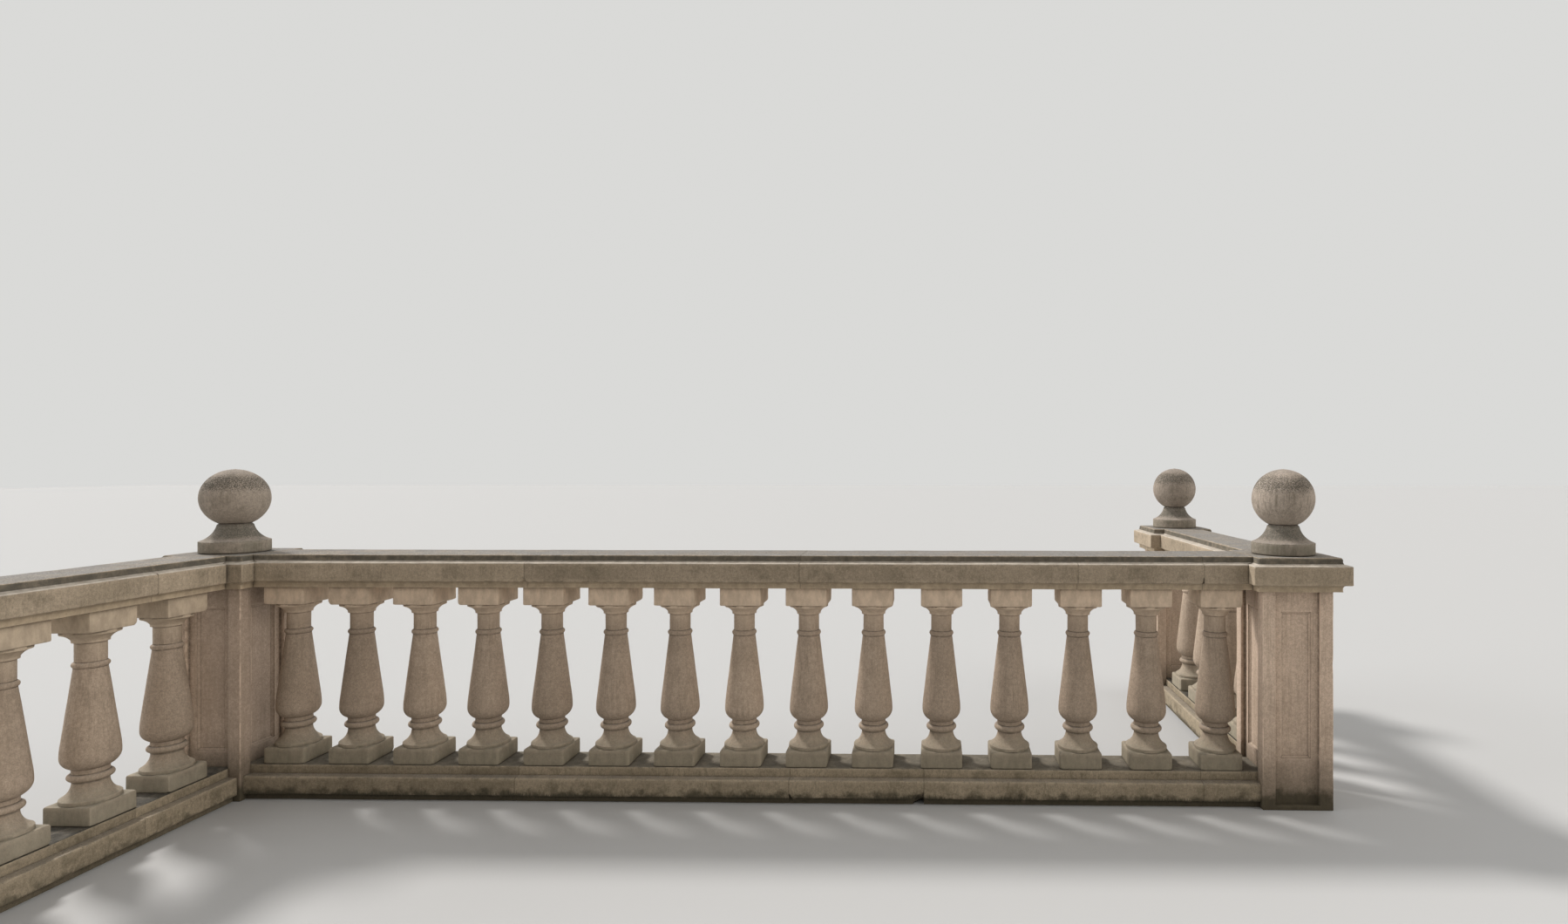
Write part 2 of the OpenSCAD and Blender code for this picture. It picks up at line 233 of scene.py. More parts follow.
def hollows(grid):
    """How sharply each point of a grid sits in a hollow, where dirt collects and shade is painted, from 0 to
    1.
    """
    normals = grid_normals(grid)
    ahead = np.roll(grid, -1, axis=1) - grid
    behind = grid - np.roll(grid, 1, axis=1)
    above, below = np.zeros_like(grid), np.zeros_like(grid)
    above[:-1] = grid[1:] - grid[:-1]
    below[1:] = grid[1:] - grid[:-1]
    above[-1], below[0] = below[-1], above[0]
    total = 0
    for leave, arrive in ((ahead, behind), (above, below)):
        turn = unit(leave) - unit(arrive)
        total = total + np.clip((turn * normals).sum(axis=-1), 0, None)
    total[0], total[-1] = 0, 0
    return np.clip((total - HOLLOW_FROM) / HOLLOW_FULL, 0, 1)


def chipped(grid, place, outward, along, half_length, depth, seed):
    """Breaks a chip off an arris: cuts the corner back to a rough slanting face."""
    outward = outward / np.linalg.norm(outward)
    reach = grid - place
    beside = np.clip(np.abs(reach @ along) / half_length, 0, 1)
    keep = depth * (1 - beside**2) * (1 + 0.35 * wander(grid, 0.011, seed))
    over = reach @ outward + keep
    near = (np.linalg.norm(reach, axis=-1) < max(half_length, depth) * 1.6) & (beside < 1)
    cut = np.where(near & (over > 0), over, 0.0)
    return grid - cut[..., None] * outward


def chip_size(chance, limits):
    """Half the length and the depth of a chip, drawn between their limits."""
    return [chance.uniform(least, most) for least, most in limits]


def out_and_along(turn):
    """The outward and the sideways direction at an angle round an upright axis."""
    c, s = math.cos(turn), math.sin(turn)
    return np.array((c, s, 0)), np.array((-s, c, 0))


# Outlines


def arc(centre_u, centre_z, radius, first, last, steps):
    """Points along an arc, angles in degrees."""
    angles = [math.radians(first + (last - first) * i / steps) for i in range(steps + 1)]
    return [(centre_u + radius * math.cos(a), centre_z + radius * math.sin(a)) for a in angles]


def hollow_curve(start, end, radius, steps):
    """Points along a hollow of the given radius that leaves one point and climbs to another."""
    lean = math.atan2(end[1] - start[1], end[0] - start[0])
    back = math.sqrt(radius**2 - math.dist(start, end) ** 2 / 4)
    centre_u = (start[0] + end[0]) / 2 + back * math.sin(lean)
    centre_z = (start[1] + end[1]) / 2 - back * math.cos(lean)
    first, last = (math.degrees(math.atan2(z - centre_z, u - centre_u)) % 360 for u, z in (start, end))
    return arc(centre_u, centre_z, radius, first, last, steps)


def half_round(radius, half, z, below_r, above_r, steps):
    """Points over a half-round ring, from the radius below it to the radius above it."""
    centre = radius - half
    low, high = (math.degrees(math.acos((r - centre) / half)) for r in (below_r, above_r))
    return arc(centre, z, half, -low, high, steps)


def smooth(points):
    """Points of a curve as corners that take no wear."""
    return [(u, z, 0) for u, z in points]


def eased(corners, ease, spacing, closed=True):
    """An outline from (across, up, wear) corners. A corner with wear is rounded to ease times wear.
    Returns the points and how near each is to an arris. The count doesn't depend on ease."""
    count = len(corners)
    groups = []
    for i, (u, z, wear) in enumerate(corners):
        here = np.array((u, z))
        before = np.array(corners[i - 1][:2])
        after = np.array(corners[(i + 1) % count][:2])
        if wear and (closed or 0 < i < count - 1):
            back, on = before - here, after - here
            back_l, on_l = np.linalg.norm(back), np.linalg.norm(on)
            cut = min(ease * wear, 0.45 * back_l, 0.45 * on_l)
            start, end = here + back / back_l * cut, here + on / on_l * cut
            group = [
                ((1 - t) ** 2 * start + 2 * t * (1 - t) * here + t * t * end, 1.0 if 0 < t < 1 else 0.55)
                for t in (0, 1 / 3, 2 / 3, 1)
            ]
        else:
            group = [(here, 0.0)]
        groups.append(group)
    points, near = [], []
    for i, group in enumerate(groups):
        points += [point for point, _ in group]
        near += [mark for _, mark in group]
        if not closed and i == count - 1:
            break
        following = (i + 1) % count
        gap = math.dist(corners[i][:2], corners[following][:2])
        between = int(gap / spacing)
        parts = [k / (between + 1) for k in range(1, between + 1)]
        if gap > 4 * CLOSEST:
            parts += [] if corners[i][2] else [CLOSEST / gap]
            parts += [] if corners[following][2] else [1 - CLOSEST / gap]
        for part in sorted(parts):
            points.append(group[-1][0] * (1 - part) + groups[following][0][0] * part)
            near.append(0.0)
    return np.array(points), np.array(near)


def rail_side(half):
    """Bed mould, fascia, ledge and upper moulding of a coping or cap, from the soffit up."""
    inner = half - MOULDING_IN
    bed = arc(inner + HOLLOW, FASCIA_FOOT - LEDGE_FALL - HOLLOW, HOLLOW, 180, 90, 4)
    crown = arc(inner + HOLLOW, LEDGE + LEDGE_FALL + HOLLOW, HOLLOW, 270, 180, 4)
    fascia = [(half, FASCIA_FOOT, 1), (half, LEDGE, 1.3)]
    return [(inner, SOFFIT, 0.5), *smooth(bed), *fascia, *smooth(crown), (inner, RAIL_TOP, 1.1)]


def plinth_side():
    """Sunk foot, fascia, ledge and upper step of the plinth, from the ground up."""
    foot = PLINTH_HALF - PLINTH_FOOT_IN
    return [
        (foot, 0, 0),
        (foot, PLINTH_FOOT, 0),
        (PLINTH_HALF, PLINTH_FOOT, 0.9),
        (PLINTH_HALF, PLINTH_LEDGE, 1.2),
        (PLINTH_STEP_HALF, PLINTH_LEDGE + LEDGE_FALL, 0),
        (PLINTH_STEP_HALF, PLINTH_TOP, 0.9),
    ]


def cap_reach(heights):
    """How far the side of a cap stands from the pier's axis at each height."""
    side = rail_side(CAP_HALF)
    return np.interp(heights, [z for _, z, _ in side], [u for u, _, _ in side])


# Meshes


def placed(name, data):
    """A new object in the scene."""
    made = bpy.data.objects.new(name, data)
    bpy.context.scene.collection.objects.link(made)
    return made


def centre_of(node):
    """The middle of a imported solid's box."""
    low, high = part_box(node)
    return (np.array(low) + np.array(high)) / 2


def round_grid(x, y, radii, angles, heights):
    """Rings about an upright axis."""
    grid = np.empty((len(heights), len(angles), 3))
    grid[..., 0] = x + radii * np.cos(angles)
    grid[..., 1] = y + radii * np.sin(angles)
    grid[..., 2] = heights[:, None]
    return grid


def stone(name, grid, near, tone, material, node, joint=0, fold=42):
    """One stone from a grid of rings: closes its ends, marks its arrises, joints and hollows, and
    places it. It stays inside the box of the solid that it stands for. Where its surface folds by
    more than fold degrees, the fold shows as an edge."""
    rows, count = grid.shape[:2]
    grid = np.clip(grid, *(np.array(corner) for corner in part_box(node)))
    first = np.arange(rows - 1)[:, None] * count
    here = np.arange(count)[None, :]
    beside = (here + 1) % count
    quads = np.stack([first + here, first + beside, first + count + beside, first + count + here], axis=-1)
    faces = quads.reshape(-1, 4).tolist()
    faces.append(list(range(count - 1, -1, -1)))
    faces.append(list(range((rows - 1) * count, rows * count)))
    mesh = bpy.data.meshes.new(name)
    mesh.from_pydata(grid.reshape(-1, 3).tolist(), [], faces)
    marks = {"arris": near, "joint": joint, "hollow": hollows(grid), "tone": tone}
    for label, values in marks.items():
        values = np.broadcast_to(values, (rows, count)).astype(np.float32)
        mesh.attributes.new(label, "FLOAT", "POINT").data.foreach_set("value", values.ravel())
    mesh.polygons.foreach_set("use_smooth", [True] * len(mesh.polygons))
    mesh.set_sharp_from_angle(angle=math.radians(fold))
    mesh.materials.append(material)
    mesh.update()
    piece = placed(name, mesh)
    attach(piece, "root")
    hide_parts(node)


# Stones that differ from their neighbours at a glance: below 0 is darker, above 0 is lighter. The left
# pier's darkness is painted shade, and the first main plinth stone's is partly painted shadow
SHADES = {
    # Painted shade: the left pier darkened as it stands in the shade of the corner
    "left_pier": -2.1,
    "main_coping_1": 0.4,
    "main_coping_2": -1.7,
    "main_coping_3": -1.6,
    "main_coping_4": -1.0,
    "main_coping_5": -0.8,
    # Partly darker stone, partly painted shadow along this stretch
    "main_plinth_1": -1.3,
    "main_plinth_3": 1.0,
}


def tone_of(index, node=""):
    """The shade of a stone: its own where it has one, else a steady one from -1 to 1."""
    return SHADES.get(node, float(lattice(np.array([[index, 3, 11]]), 5)[0]) * 2 - 1)


# Runs of plinth and coping

# Each run: its name, how many stones it has, the axis they lie along, and the numbers of the stones
# that meet a pier at the run's low and high end
RUNS = (("main", 5, 0, 1, 5), ("wing", 3, 1, 3, 1), ("return", 1, 1, 1, 1))

# The coping stone whose high end has lost its mortar
OPEN_STONE = "wing_coping_1"

# Arrises that chip, as half width, height, and which way the chip faces, most often the first
COPING_EDGES = [
    (COPING_HALF, FASCIA_FOOT, -1),
    (COPING_HALF, LEDGE, 1),
    (COPING_HALF - MOULDING_IN, RAIL_TOP, 1),
]
PLINTH_EDGES = [
    (PLINTH_HALF, PLINTH_FOOT, -1),
    (PLINTH_HALF, PLINTH_LEDGE, 1),
    (PLINTH_STEP_HALF, PLINTH_TOP, 1),
]

# Corners that are plainly broken off: low end 0 or high end 1, then across, height, which way the
# chip faces, half its length, and its depth
BREAKS = {
    "wing_coping_1": ((1, -COPING_HALF, FASCIA_FOOT, -1, 0.022, 0.014),),
    "main_coping_1": ((1, -COPING_HALF, FASCIA_FOOT, -1, 0.016, 0.016),),
    "main_coping_2": (
        (0, -COPING_HALF, FASCIA_FOOT, -1, 0.012, 0.012),
        (1, -COPING_HALF, LEDGE, 1, 0.014, 0.010),
    ),
    "main_coping_4": ((1, -COPING_HALF, FASCIA_FOOT, -1, 0.012, 0.016),),
    "main_plinth_3": (
        (1, -PLINTH_HALF, PLINTH_FOOT, -1, 0.046, 0.022),
        (0, -PLINTH_HALF, PLINTH_FOOT, -1, 0.018, 0.014),
    ),
}


def stations(start, end, spacing, chips):
    """Places along a stone, close together near its ends and at its chips."""
    edge = [e for e in END_STEPS if e < (end - start) * 0.4]
    first, last = start + edge[-1], end - edge[-1]
    steps = max(2, round((end - start - 2 * edge[-1]) / spacing))
    wanted = list(np.linspace(first, last, steps + 1))
    for at, _, _, _, half_length, _ in chips:
        wanted += [at + half_length * part for part in (-1, -0.5, 0, 0.5, 1)]
    spaced = []
    for place in sorted(wanted):
        clear = not spaced or place - spaced[-1] > CLOSEST
        if clear and place - first > CLOSEST and last - place > CLOSEST:
            spaced.append(place)
    return np.array(sorted([start + e for e in edge] + [end - e for e in edge] + spaced))


def finish_ends(places, near, run, inward, ends):
    """Shapes both ends of a stone where they meet what is next to them, and marks their dirt."""
    joint = np.zeros(near.shape)
    for how, rim, step in ((ends[0], 0, 1), (ends[1], -1, -1)):
        if how == "pier":
            continue
        places[rim, :, 1:] += inward
        near[rim] = 0
        joint[rim] = 1
        joint[rim + step] = JOINT_DIRT
        if how == "open":
            joint[rim + step] = 1
            joint[rim + 2 * step] = OPEN_DIRT
        if how in ("cap", "open"):
            reach = cap_reach(places[rim, :, 2]) - CAP_TOP_HALF + (OPEN_GAP if how == "open" else 0)
            fade = np.clip(1 - np.abs(run - run[rim]) / CUT_FADE, 0, 1)
            places[..., 0] += step * fade[:, None] * reach
        if how == "cap":
            places[rim, :, 0] -= step * CAP_GAP
    return joint


def run_stone(node, side, axis, ends, spacing, index, material, chips):
    """A straight stone of a run along axis 0 or 1. ends says how each end meets what is next to it:
    joint, against the next stone; cap, cut to the outline of a pier's cap; open, the same with its
    mortar gone; or pier, let in to a pier."""
    low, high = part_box(node)
    section = side + [(-u, z, wear) for u, z, wear in reversed(side)]
    sharp, near = eased(section, SHARP, spacing * 0.7)
    worn, _ = eased(section, WORN, spacing * 0.7)
    inward = np.roll(sharp, 1, axis=0) - np.roll(sharp, -1, axis=0)
    inward = np.stack([inward[:, 1], -inward[:, 0]], axis=1)
    inward /= np.linalg.norm(inward, axis=1, keepdims=True)
    inward = inward * JOINT_SINK * np.where(near > 0, 0.6, 1.0)[:, None]

    run = stations(low[axis], high[axis], spacing, chips)
    places = np.zeros((len(run), len(sharp), 3))
    places[..., 0] = run[:, None]
    places[..., 1:] = sharp
    wear = wear_at(places, 0.38, (0.16, 0.04), (index, index + 9))
    places[..., 1:] += wear[..., None] * (worn - sharp)
    near = np.tile(near, (len(run), 1))
    joint = finish_ends(places, near, run, inward, ends)

    if axis == 1:
        places = np.stack([-places[..., 1], places[..., 0], places[..., 2]], axis=-1)
    middle = centre_of(node)[1 - axis]
    places[..., 1 - axis] += middle
    places = roughened(places, index)
    along = np.eye(3)[axis]
    across = np.cross(UP, along)
    for number, (at, out, height, facing, half_length, depth) in enumerate(chips):
        spot = along * at + across * out + UP * height
        spot[1 - axis] += middle
        outward = across * math.copysign(1, out) + UP * facing
        places = chipped(places, spot, outward, along, half_length, depth, index * 31 + number)
    stone(node + "_stone", places, near, tone_of(index, node), material, node, joint)


def edge_chips(edges, start, end, seed, how_many):
    """Small chips scattered along the arrises of a stone."""
    chance = np.random.default_rng(seed)
    chips = []
    for _ in range(how_many):
        out, height, facing = edges[chance.choice(len(edges), p=(0.6, 0.25, 0.15))]
        at = chance.uniform(start, end)
        out = out * chance.choice((-1, 1))
        chips.append((at, out, height, facing, *chip_size(chance, EDGE_CHIP)))
    return chips


def joint_chips(edges, at, seed):
    """Broken corners on both sides of a joint at one end of a stone."""
    chance = np.random.default_rng(seed)
    return [
        (at, out * side, height, facing, *chip_size(chance, JOINT_CHIP))
        for out, height, facing in edges
        for side in (-1, 1)
        if chance.uniform() < 0.75
    ]


def lay_stones(kind, against, side, edges, materials, spacing, first, fewest, per_metre, seed):
    """Every stone of the plinth or coping. against says how they meet the piers, and materials holds
    the finish of the runs along axis 0 and along axis 1."""
    index = 0
    for run, count, axis, lowest, highest in RUNS:
        for number in range(1, count + 1):
            node = "%s_%s_%d" % (run, kind, number) if count > 1 else "%s_%s" % (run, kind)
            low, high = (corner[axis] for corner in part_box(node))
            ends = [against if number == outer else "joint" for outer in (lowest, highest)]
            if node == OPEN_STONE:
                ends[1] = "open"
            chips = edge_chips(edges, low, high, seed + index, fewest + int(per_metre * (high - low)))
            for how, at in zip(ends, (low, high)):
                if how == "joint":
                    chips += joint_chips(edges, at, seed + 50 + index)
            chips += [((low, high)[end], *chip) for end, *chip in BREAKS.get(node, ())]
            run_stone(node, side, axis, ends, spacing, first + index, materials[axis], chips)
            index += 1


def plinth(main_material, side_material):
    """All the plinth stones, let in to the piers."""
    chips = {"fewest": 2, "per_metre": 7, "seed": 140}
    materials = (main_material, side_material)
    lay_stones("plinth", "pier", plinth_side(), PLINTH_EDGES, materials, spacing=0.024, first=21, **chips)


def coping(material):
    """All the coping stones, cut to the outline of the caps."""
    chips = {"fewest": 3, "per_metre": 11, "seed": 40}
    side, materials = rail_side(COPING_HALF), (material, material)
    lay_stones("coping", "cap", side, COPING_EDGES, materials, spacing=0.021, first=1, **chips)


# Balusters

# Directions of the points round a baluster, closer together at the corners of its blocks, and how
# many degrees each is from the middle of the nearest side
QUARTER = [-45, -43.7, -41.2, -36.5, -30, -22.5, -15, -7.5, 0, 7.5, 15, 22.5, 30, 36.5, 41.2, 43.7]
ANGLES = np.radians(np.array([angle + 90 * turn for turn in range(4) for angle in QUARTER]))
FROM_SIDE = np.abs((np.degrees(ANGLES) + 45) % 90 - 45)


def square_ring(half, corner):
    """Distance from the axis to a square with rounded corners, in each direction."""
    edge = np.degrees(math.atan2(half - corner, half))
    tip = math.sqrt(2) * (half - corner) + corner
    edge_out = half / math.cos(math.radians(edge))
    rounded = tip + (edge_out - tip) * np.clip((45 - FROM_SIDE) / (45 - edge), 0, 1)
    return np.where(FROM_SIDE > edge, rounded, half / np.cos(np.radians(FROM_SIDE)))


def turned_profile():
    """The lathe-turned part of a baluster, from foot block to head block: radius, height and wear."""
    bell_z = FOOT_BLOCK + BELL_LIP
    waist_z = bell_z + BELL_H
    ring_z = waist_z + WAIST_H + LOWER_RING_HALF
    belly_foot = ring_z + LOWER_RING_HALF + BAND_H
    belly_z = belly_foot + BELLY_RISE
    head = BALUSTER_H - HEAD_BLOCK
    mould_z = head - HEAD_LIP
    collar_top = mould_z - HEAD_MOULD_H
    collar_z = collar_top - COLLAR_H
    upper_z = collar_z - COLLAR_SPLAY - NECK_H - UPPER_RING_HALF
    taper_z = upper_z - UPPER_RING_HALF

    rise, swell = belly_z - belly_foot, BELLY_R - BAND_R
    belly_arc_r = (swell**2 + rise**2) / (2 * swell)
    belly_from = -math.degrees(math.asin(rise / belly_arc_r))
    shoulder_u = BELLY_R - SHOULDER_R
    reach = math.hypot(TAPER_R - shoulder_u, taper_z - belly_z)
    lean = math.atan2(taper_z - belly_z, TAPER_R - shoulder_u) - math.acos(SHOULDER_R / reach)
    lean = math.degrees(lean)
    return [
        (BELL_R, FOOT_BLOCK + SEAM, 0),
        (BELL_R, bell_z, 0.7),
        *smooth(hollow_curve((BELL_R, bell_z), (WAIST_R, waist_z), BELL_HOLLOW, 9)[1:]),
        *smooth(half_round(LOWER_RING_R, LOWER_RING_HALF, ring_z, WAIST_R, BAND_R, 9)),
        (BAND_R, belly_foot - 0.0015, 0),
        *smooth(arc(BELLY_R - belly_arc_r, belly_z, belly_arc_r, belly_from, 0, 9)),
        *smooth(arc(shoulder_u, belly_z, SHOULDER_R, lean / 5, lean, 4)),
        *smooth(half_round(UPPER_RING_R, UPPER_RING_HALF, upper_z, TAPER_R, NECK_R, 8)),
        (NECK_R, collar_z - COLLAR_SPLAY, 0),
        (COLLAR_R, collar_z, 0.4),
        (COLLAR_R, collar_top, 0.3),
        *smooth(hollow_curve((COLLAR_R, collar_top), (HEAD_MOULD_R, mould_z), HEAD_HOLLOW, 6)[1:-1]),
        (HEAD_MOULD_R, mould_z, 0.5),
        (HEAD_MOULD_R, head - SEAM, 0),
    ]


def block_rings(foot, head, ease_foot, ease_head, corner):
    """Rings of one square block: distances from the axis, height and wear."""
    foot_edge = [(ease_foot, foot), (ease_foot * 0.3, foot + ease_foot * 0.3), (0, foot + ease_foot)]
    between = [(0, z) for z in np.linspace(foot + ease_foot, head - ease_head, 7)[1:-1]]
    head_edge = [(0, head - ease_head), (ease_head * 0.3, head - ease_head * 0.3), (ease_head, head)]
    return [
        (square_ring(BLOCK_HALF - inset, corner), z, wear)
        for levels, wear in ((foot_edge, 0.8), (between, 0.0), (head_edge, 0.8))
        for inset, z in levels
    ]


def baluster_shape():
    """A whole baluster from foot to head: the distances of each ring from the axis, its height, and
    how near its points are to an arris."""
    points, near = eased(turned_profile(), SHARP, 0.030, closed=False)
    rings = block_rings(0.0, FOOT_BLOCK, ease_foot=0.0040, ease_head=0.0075, corner=0.0085)
    rings += [(np.full(len(ANGLES), radius), z, mark) for (radius, z), mark in zip(points, near)]
    head = BALUSTER_H - HEAD_BLOCK
    rings += block_rings(head, BALUSTER_H, ease_foot=0.0055, ease_head=0.0020, corner=0.0055)
    wide, heights, near = (np.array(column) for column in zip(*rings))
    on_block = (heights < FOOT_BLOCK + SEAM / 2) | (heights > head - SEAM / 2)
    at_corner = FROM_SIDE > 43
    return wide, heights, np.maximum(near[:, None], 0.9 * (on_block[:, None] & at_corner))


def baluster(name, node, x, y, index, shape, material):
    """One baluster. Each is set with its own slight twist and has its own chips."""
    wide, heights, near = shape
    chance = np.random.default_rng(700 + index)
    twist = math.radians(chance.uniform(-0.7, 0.7))
    grid = roughened(round_grid(x, y, wide, ANGLES + twist, PLINTH_TOP + heights), 300 + index)
    for number in range(6):
        out, along = out_and_along(math.radians(45 + 90 * chance.integers(4)) + twist)
        at_foot = chance.uniform() < 0.6
        z = chance.choice((0.0, FOOT_BLOCK)) if at_foot else BALUSTER_H - HEAD_BLOCK
        facing = 1.0 if at_foot and z > 0 else -1.0
        spot = np.array((x, y, PLINTH_TOP + z)) + out * (1.38 * BLOCK_HALF)
        size = BLOCK_CHIP_HALF, chance.uniform(*BLOCK_CHIP_DEPTH)
        grid = chipped(grid, spot, out + UP * facing, along, *size, 900 + index * 7 + number)
    joint = np.zeros(near.shape)
    joint[0], joint[1], joint[-2], joint[-1] = 1, 0.5, 0.3, 1
    stone(name, grid, near, tone_of(60 + index), material, node, joint, fold=38)


def balusters(main_material, side_material):
    """Every baluster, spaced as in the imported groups."""
    groups = (
        ("main_balusters_left", 5, 0),
        ("main_balusters_middle", 5, 0),
        ("main_balusters_right", 5, 0),
        ("wing_balusters_front", 4, 1),
        ("wing_balusters_back", 4, 1),
        ("return_balusters", 4, 1),
    )
    shape = baluster_shape()
    index = 0
    for node, count, axis in groups:
        low, high = (corner[axis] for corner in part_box(node))
        x, y, _ = centre_of(node)
        name = node.replace("balusters", "baluster")
        material = side_material if axis else main_material
        for number, at in enumerate(np.linspace(low + BLOCK_HALF, high - BLOCK_HALF, count)):
            x, y = (x, at) if axis else (at, y)
            baluster("%s_%d" % (name, number + 1), node, x, y, index, shape, material)
            index += 1


# Piers, caps and finials


def cap_outline(ease):
    """The side of a cap with its soffit and top, and how near each point is to an arris."""
    points, near = eased(rail_side(CAP_HALF), ease, 0.014, closed=False)
    below = [(0.03, SOFFIT), (0.10, SOFFIT)]
    above = [(CAP_TOP_HALF - ease, RAIL_TOP), (0.13, RAIL_TOP), (0.08, RAIL_TOP), (0.03, RAIL_TOP)]
    return np.concatenate([below, points[:-1], above]), np.array([0, 0, *near[:-1], 0.5, 0, 0, 0])


def square_places(half, corner, fractions):
    """Points round a square with rounded corners, four sides alike, anticlockwise from the corner
    between the right and front sides."""
    soft = half - corner
    local = [(half, part * soft) for part in fractions]
    for angle in (math.radians(30), math.radians(60)):
        local.append((soft + corner * math.cos(angle), soft + corner * math.sin(angle)))
    return np.array([(c * u - s * v, s * u + c * v) for c, s in QUARTERS for u, v in local])


def cap(name, node, index, material):
    """A pier's moulded cap, mitred at its corners."""
    x, y, _ = centre_of(node)
    sharp, near = cap_outline(SHARP)
    worn, _ = cap_outline(WORN)
    edge = [-1, -0.97, -0.92, -0.85]
    fractions = edge + list(np.linspace(-0.76, 0.76, 20)) + [-e for e in reversed(edge)]
    rows = []
    for (half, height), (worn_half, worn_height) in zip(sharp, worn):
        ring = square_places(half, min(0.0055, half * 0.3), fractions)
        ring = np.column_stack([ring, np.full(len(ring), height)])
        wear = wear_at(ring + (x, y, 0), 0.4, (0.13, 0.035), (50 + index, 51 + index))
        ring[:, :2] *= 1 + (worn_half / half - 1) * wear[:, None]
        ring[:, 2] += wear * (worn_height - height)
        rows.append(ring)
    grid = roughened(np.array(rows) + (x, y, 0), 400 + index)
    chance = np.random.default_rng(820 + index)
    for number in range(10):
        turn = math.radians(90 * chance.integers(4) + chance.choice((0, 45)))
        at_corner = abs(math.sin(2 * turn)) > 0.5
        out, along = out_and_along(turn)
        z, facing = ((FASCIA_FOOT, -1), (LEDGE, 1))[chance.integers(2)]
        aside = 0 if at_corner else chance.uniform(-0.17, 0.17)
        spot = np.array((x, y, z)) + out * CAP_HALF * (1.405 if at_corner else 1) + along * aside
        size = chip_size(chance, CAP_CORNER_CHIP if at_corner else CAP_EDGE_CHIP)
        grid = chipped(grid, spot, out + UP * facing, along, *size, 860 + index * 11 + number)
    # The corners of its sides are arrises too, and those of the inner rings of top and soffit aren't
    corners = np.tile([0.0] * len(fractions) + [0.9] * 2, 4)
    outer = sharp[:, :1] > 0.15
    near = np.maximum(near[:, None], outer * corners)
    stone(name, grid, near, tone_of(120 + index), material, node)


def pier_face(across, up):
    """How far a pier's face stands from its axis, and how near each place is to an arris."""
    strip, sill = np.abs(across) - FIELD_HALF, SILL - up
    inside = np.minimum(PANEL_HALF - np.abs(across), np.minimum(up - PANEL_FOOT, PANEL_HEAD - up))
    raised = np.clip(np.maximum(strip, sill) / EDGE_BACK[0], 0, 1)
    sunk = np.interp(inside, PANEL_MOULD_IN, PANEL_MOULD_DEEP) * (raised == 0)
    strip_in = np.interp(strip, EDGE_BACK, EDGE_IN) * (strip > 0) * (up > SILL)
    least, most = EDGE_MARK
    sill_in = np.interp(sill, EDGE_BACK, EDGE_IN) * (strip < least) * (up < SILL)
    on_strip = (strip > least) & (strip < most) & (up > SILL)
    on_sill = (sill > least) & (sill < most) & (strip < 0)
    on_panel = (inside > PANEL_MARK[0]) & (inside < PANEL_MARK[1])
    near = np.where(on_strip | on_sill, 1.0, np.where(on_panel, 0.6, 0.0))
    return PIER_HALF - STRIP_OUT * (1 - raised) - sunk - strip_in - sill_in, near


def pier(name, node, index, material):
    """A pier's shaft: raised corner strips, a sill and a sunk, moulded panel on every face."""
    x, y, _ = centre_of(node)
    flat = PIER_HALF - PIER_CORNER
    # Places across a face, from its edge to its middle, and up it, close together at the mouldings
    edge = [*reversed(EDGE_BACK), 0]
    strip = [flat, flat - 0.006, 0.120, FIELD_HALF + 0.012, *(FIELD_HALF + e for e in edge)]
    field = [FIELD_HALF - CLOSEST, 0.080, 0.072, PANEL_HALF + 0.006, PANEL_HALF + 0.0020]
    panel = [*(PANEL_HALF - e for e in PANEL_MOULD_IN), PANEL_HALF - 0.013, 0.036, 0.024, 0.012]
    one_way = strip + field + panel
    across = np.array([-u for u in one_way] + [0.0] + one_way[::-1])
    mould = [-0.010, -0.0020, *PANEL_MOULD_IN, 0.013]
    up = np.concatenate([
        [0, 0.0010, 0.0040, 0.0110],
        [SILL - e for e in edge],
        [SILL + CLOSEST],
        np.linspace(SILL + 0.014, PANEL_FOOT - 0.022, 8),
        [PANEL_FOOT + e for e in mould],
        np.linspace(PANEL_FOOT + 0.034, PANEL_HEAD - 0.034, 22),
        [PANEL_HEAD - e for e in reversed(mould)],
        np.linspace(PANEL_HEAD + 0.022, SOFFIT - 0.012, 4),
        [SOFFIT - CLOSEST, SOFFIT],
    ])
    face, near = pier_face(across[None, :], up[:, None])
    rows = np.ones((len(up), 1))
    turns = np.radians([18, 36, 54, 72])
    u = np.hstack([face, rows * (flat + PIER_CORNER * np.cos(turns))])
    v = np.hstack([rows * across, rows * (flat + PIER_CORNER * np.sin(turns))])
    plan = np.hstack([np.stack([c * u - s * v, s * u + c * v], axis=-1) for c, s in QUARTERS])
    near = np.tile(np.hstack([near, rows * np.ones(len(turns))]), (1, 4))
    plan[0] *= (PIER_HALF - 0.0020) / PIER_HALF
    grid = np.dstack([plan + (x, y), up[:, None] * np.ones(plan.shape[1])])
    grid = roughened(grid, 500 + index)
    chance = np.random.default_rng(920 + index)
    for number in range(8):
        out, _ = out_and_along(math.radians(45 + 90 * chance.integers(4)))
        spot = np.array((x, y, chance.uniform(0.01, 0.85))) + out * (PIER_HALF * math.sqrt(2) - 0.002)
        size = chip_size(chance, PIER_CHIP)
        grid = chipped(grid, spot, out, UP, *size, 960 + index * 13 + number)
    stone(name, grid, near, tone_of(140 + index, node), material, node)


def turned(node, profile, index, seed, material):
    """A part of a finial turned on a lathe, from (radius, height, wear) points."""
    x, y, _ = centre_of(node)
    points, near = eased(profile, 0.006, 0.012, closed=False)
    around = np.linspace(0, 2 * math.pi, FINIAL_SIDES, endpoint=False)
    grid = roughened(round_grid(x, y, points[:, :1], around, points[:, 1]), seed + index)
    tone = tone_of(160 + seed + index)
    stone(node + "_stone", grid, near[:, None], tone, material, node, fold=50)


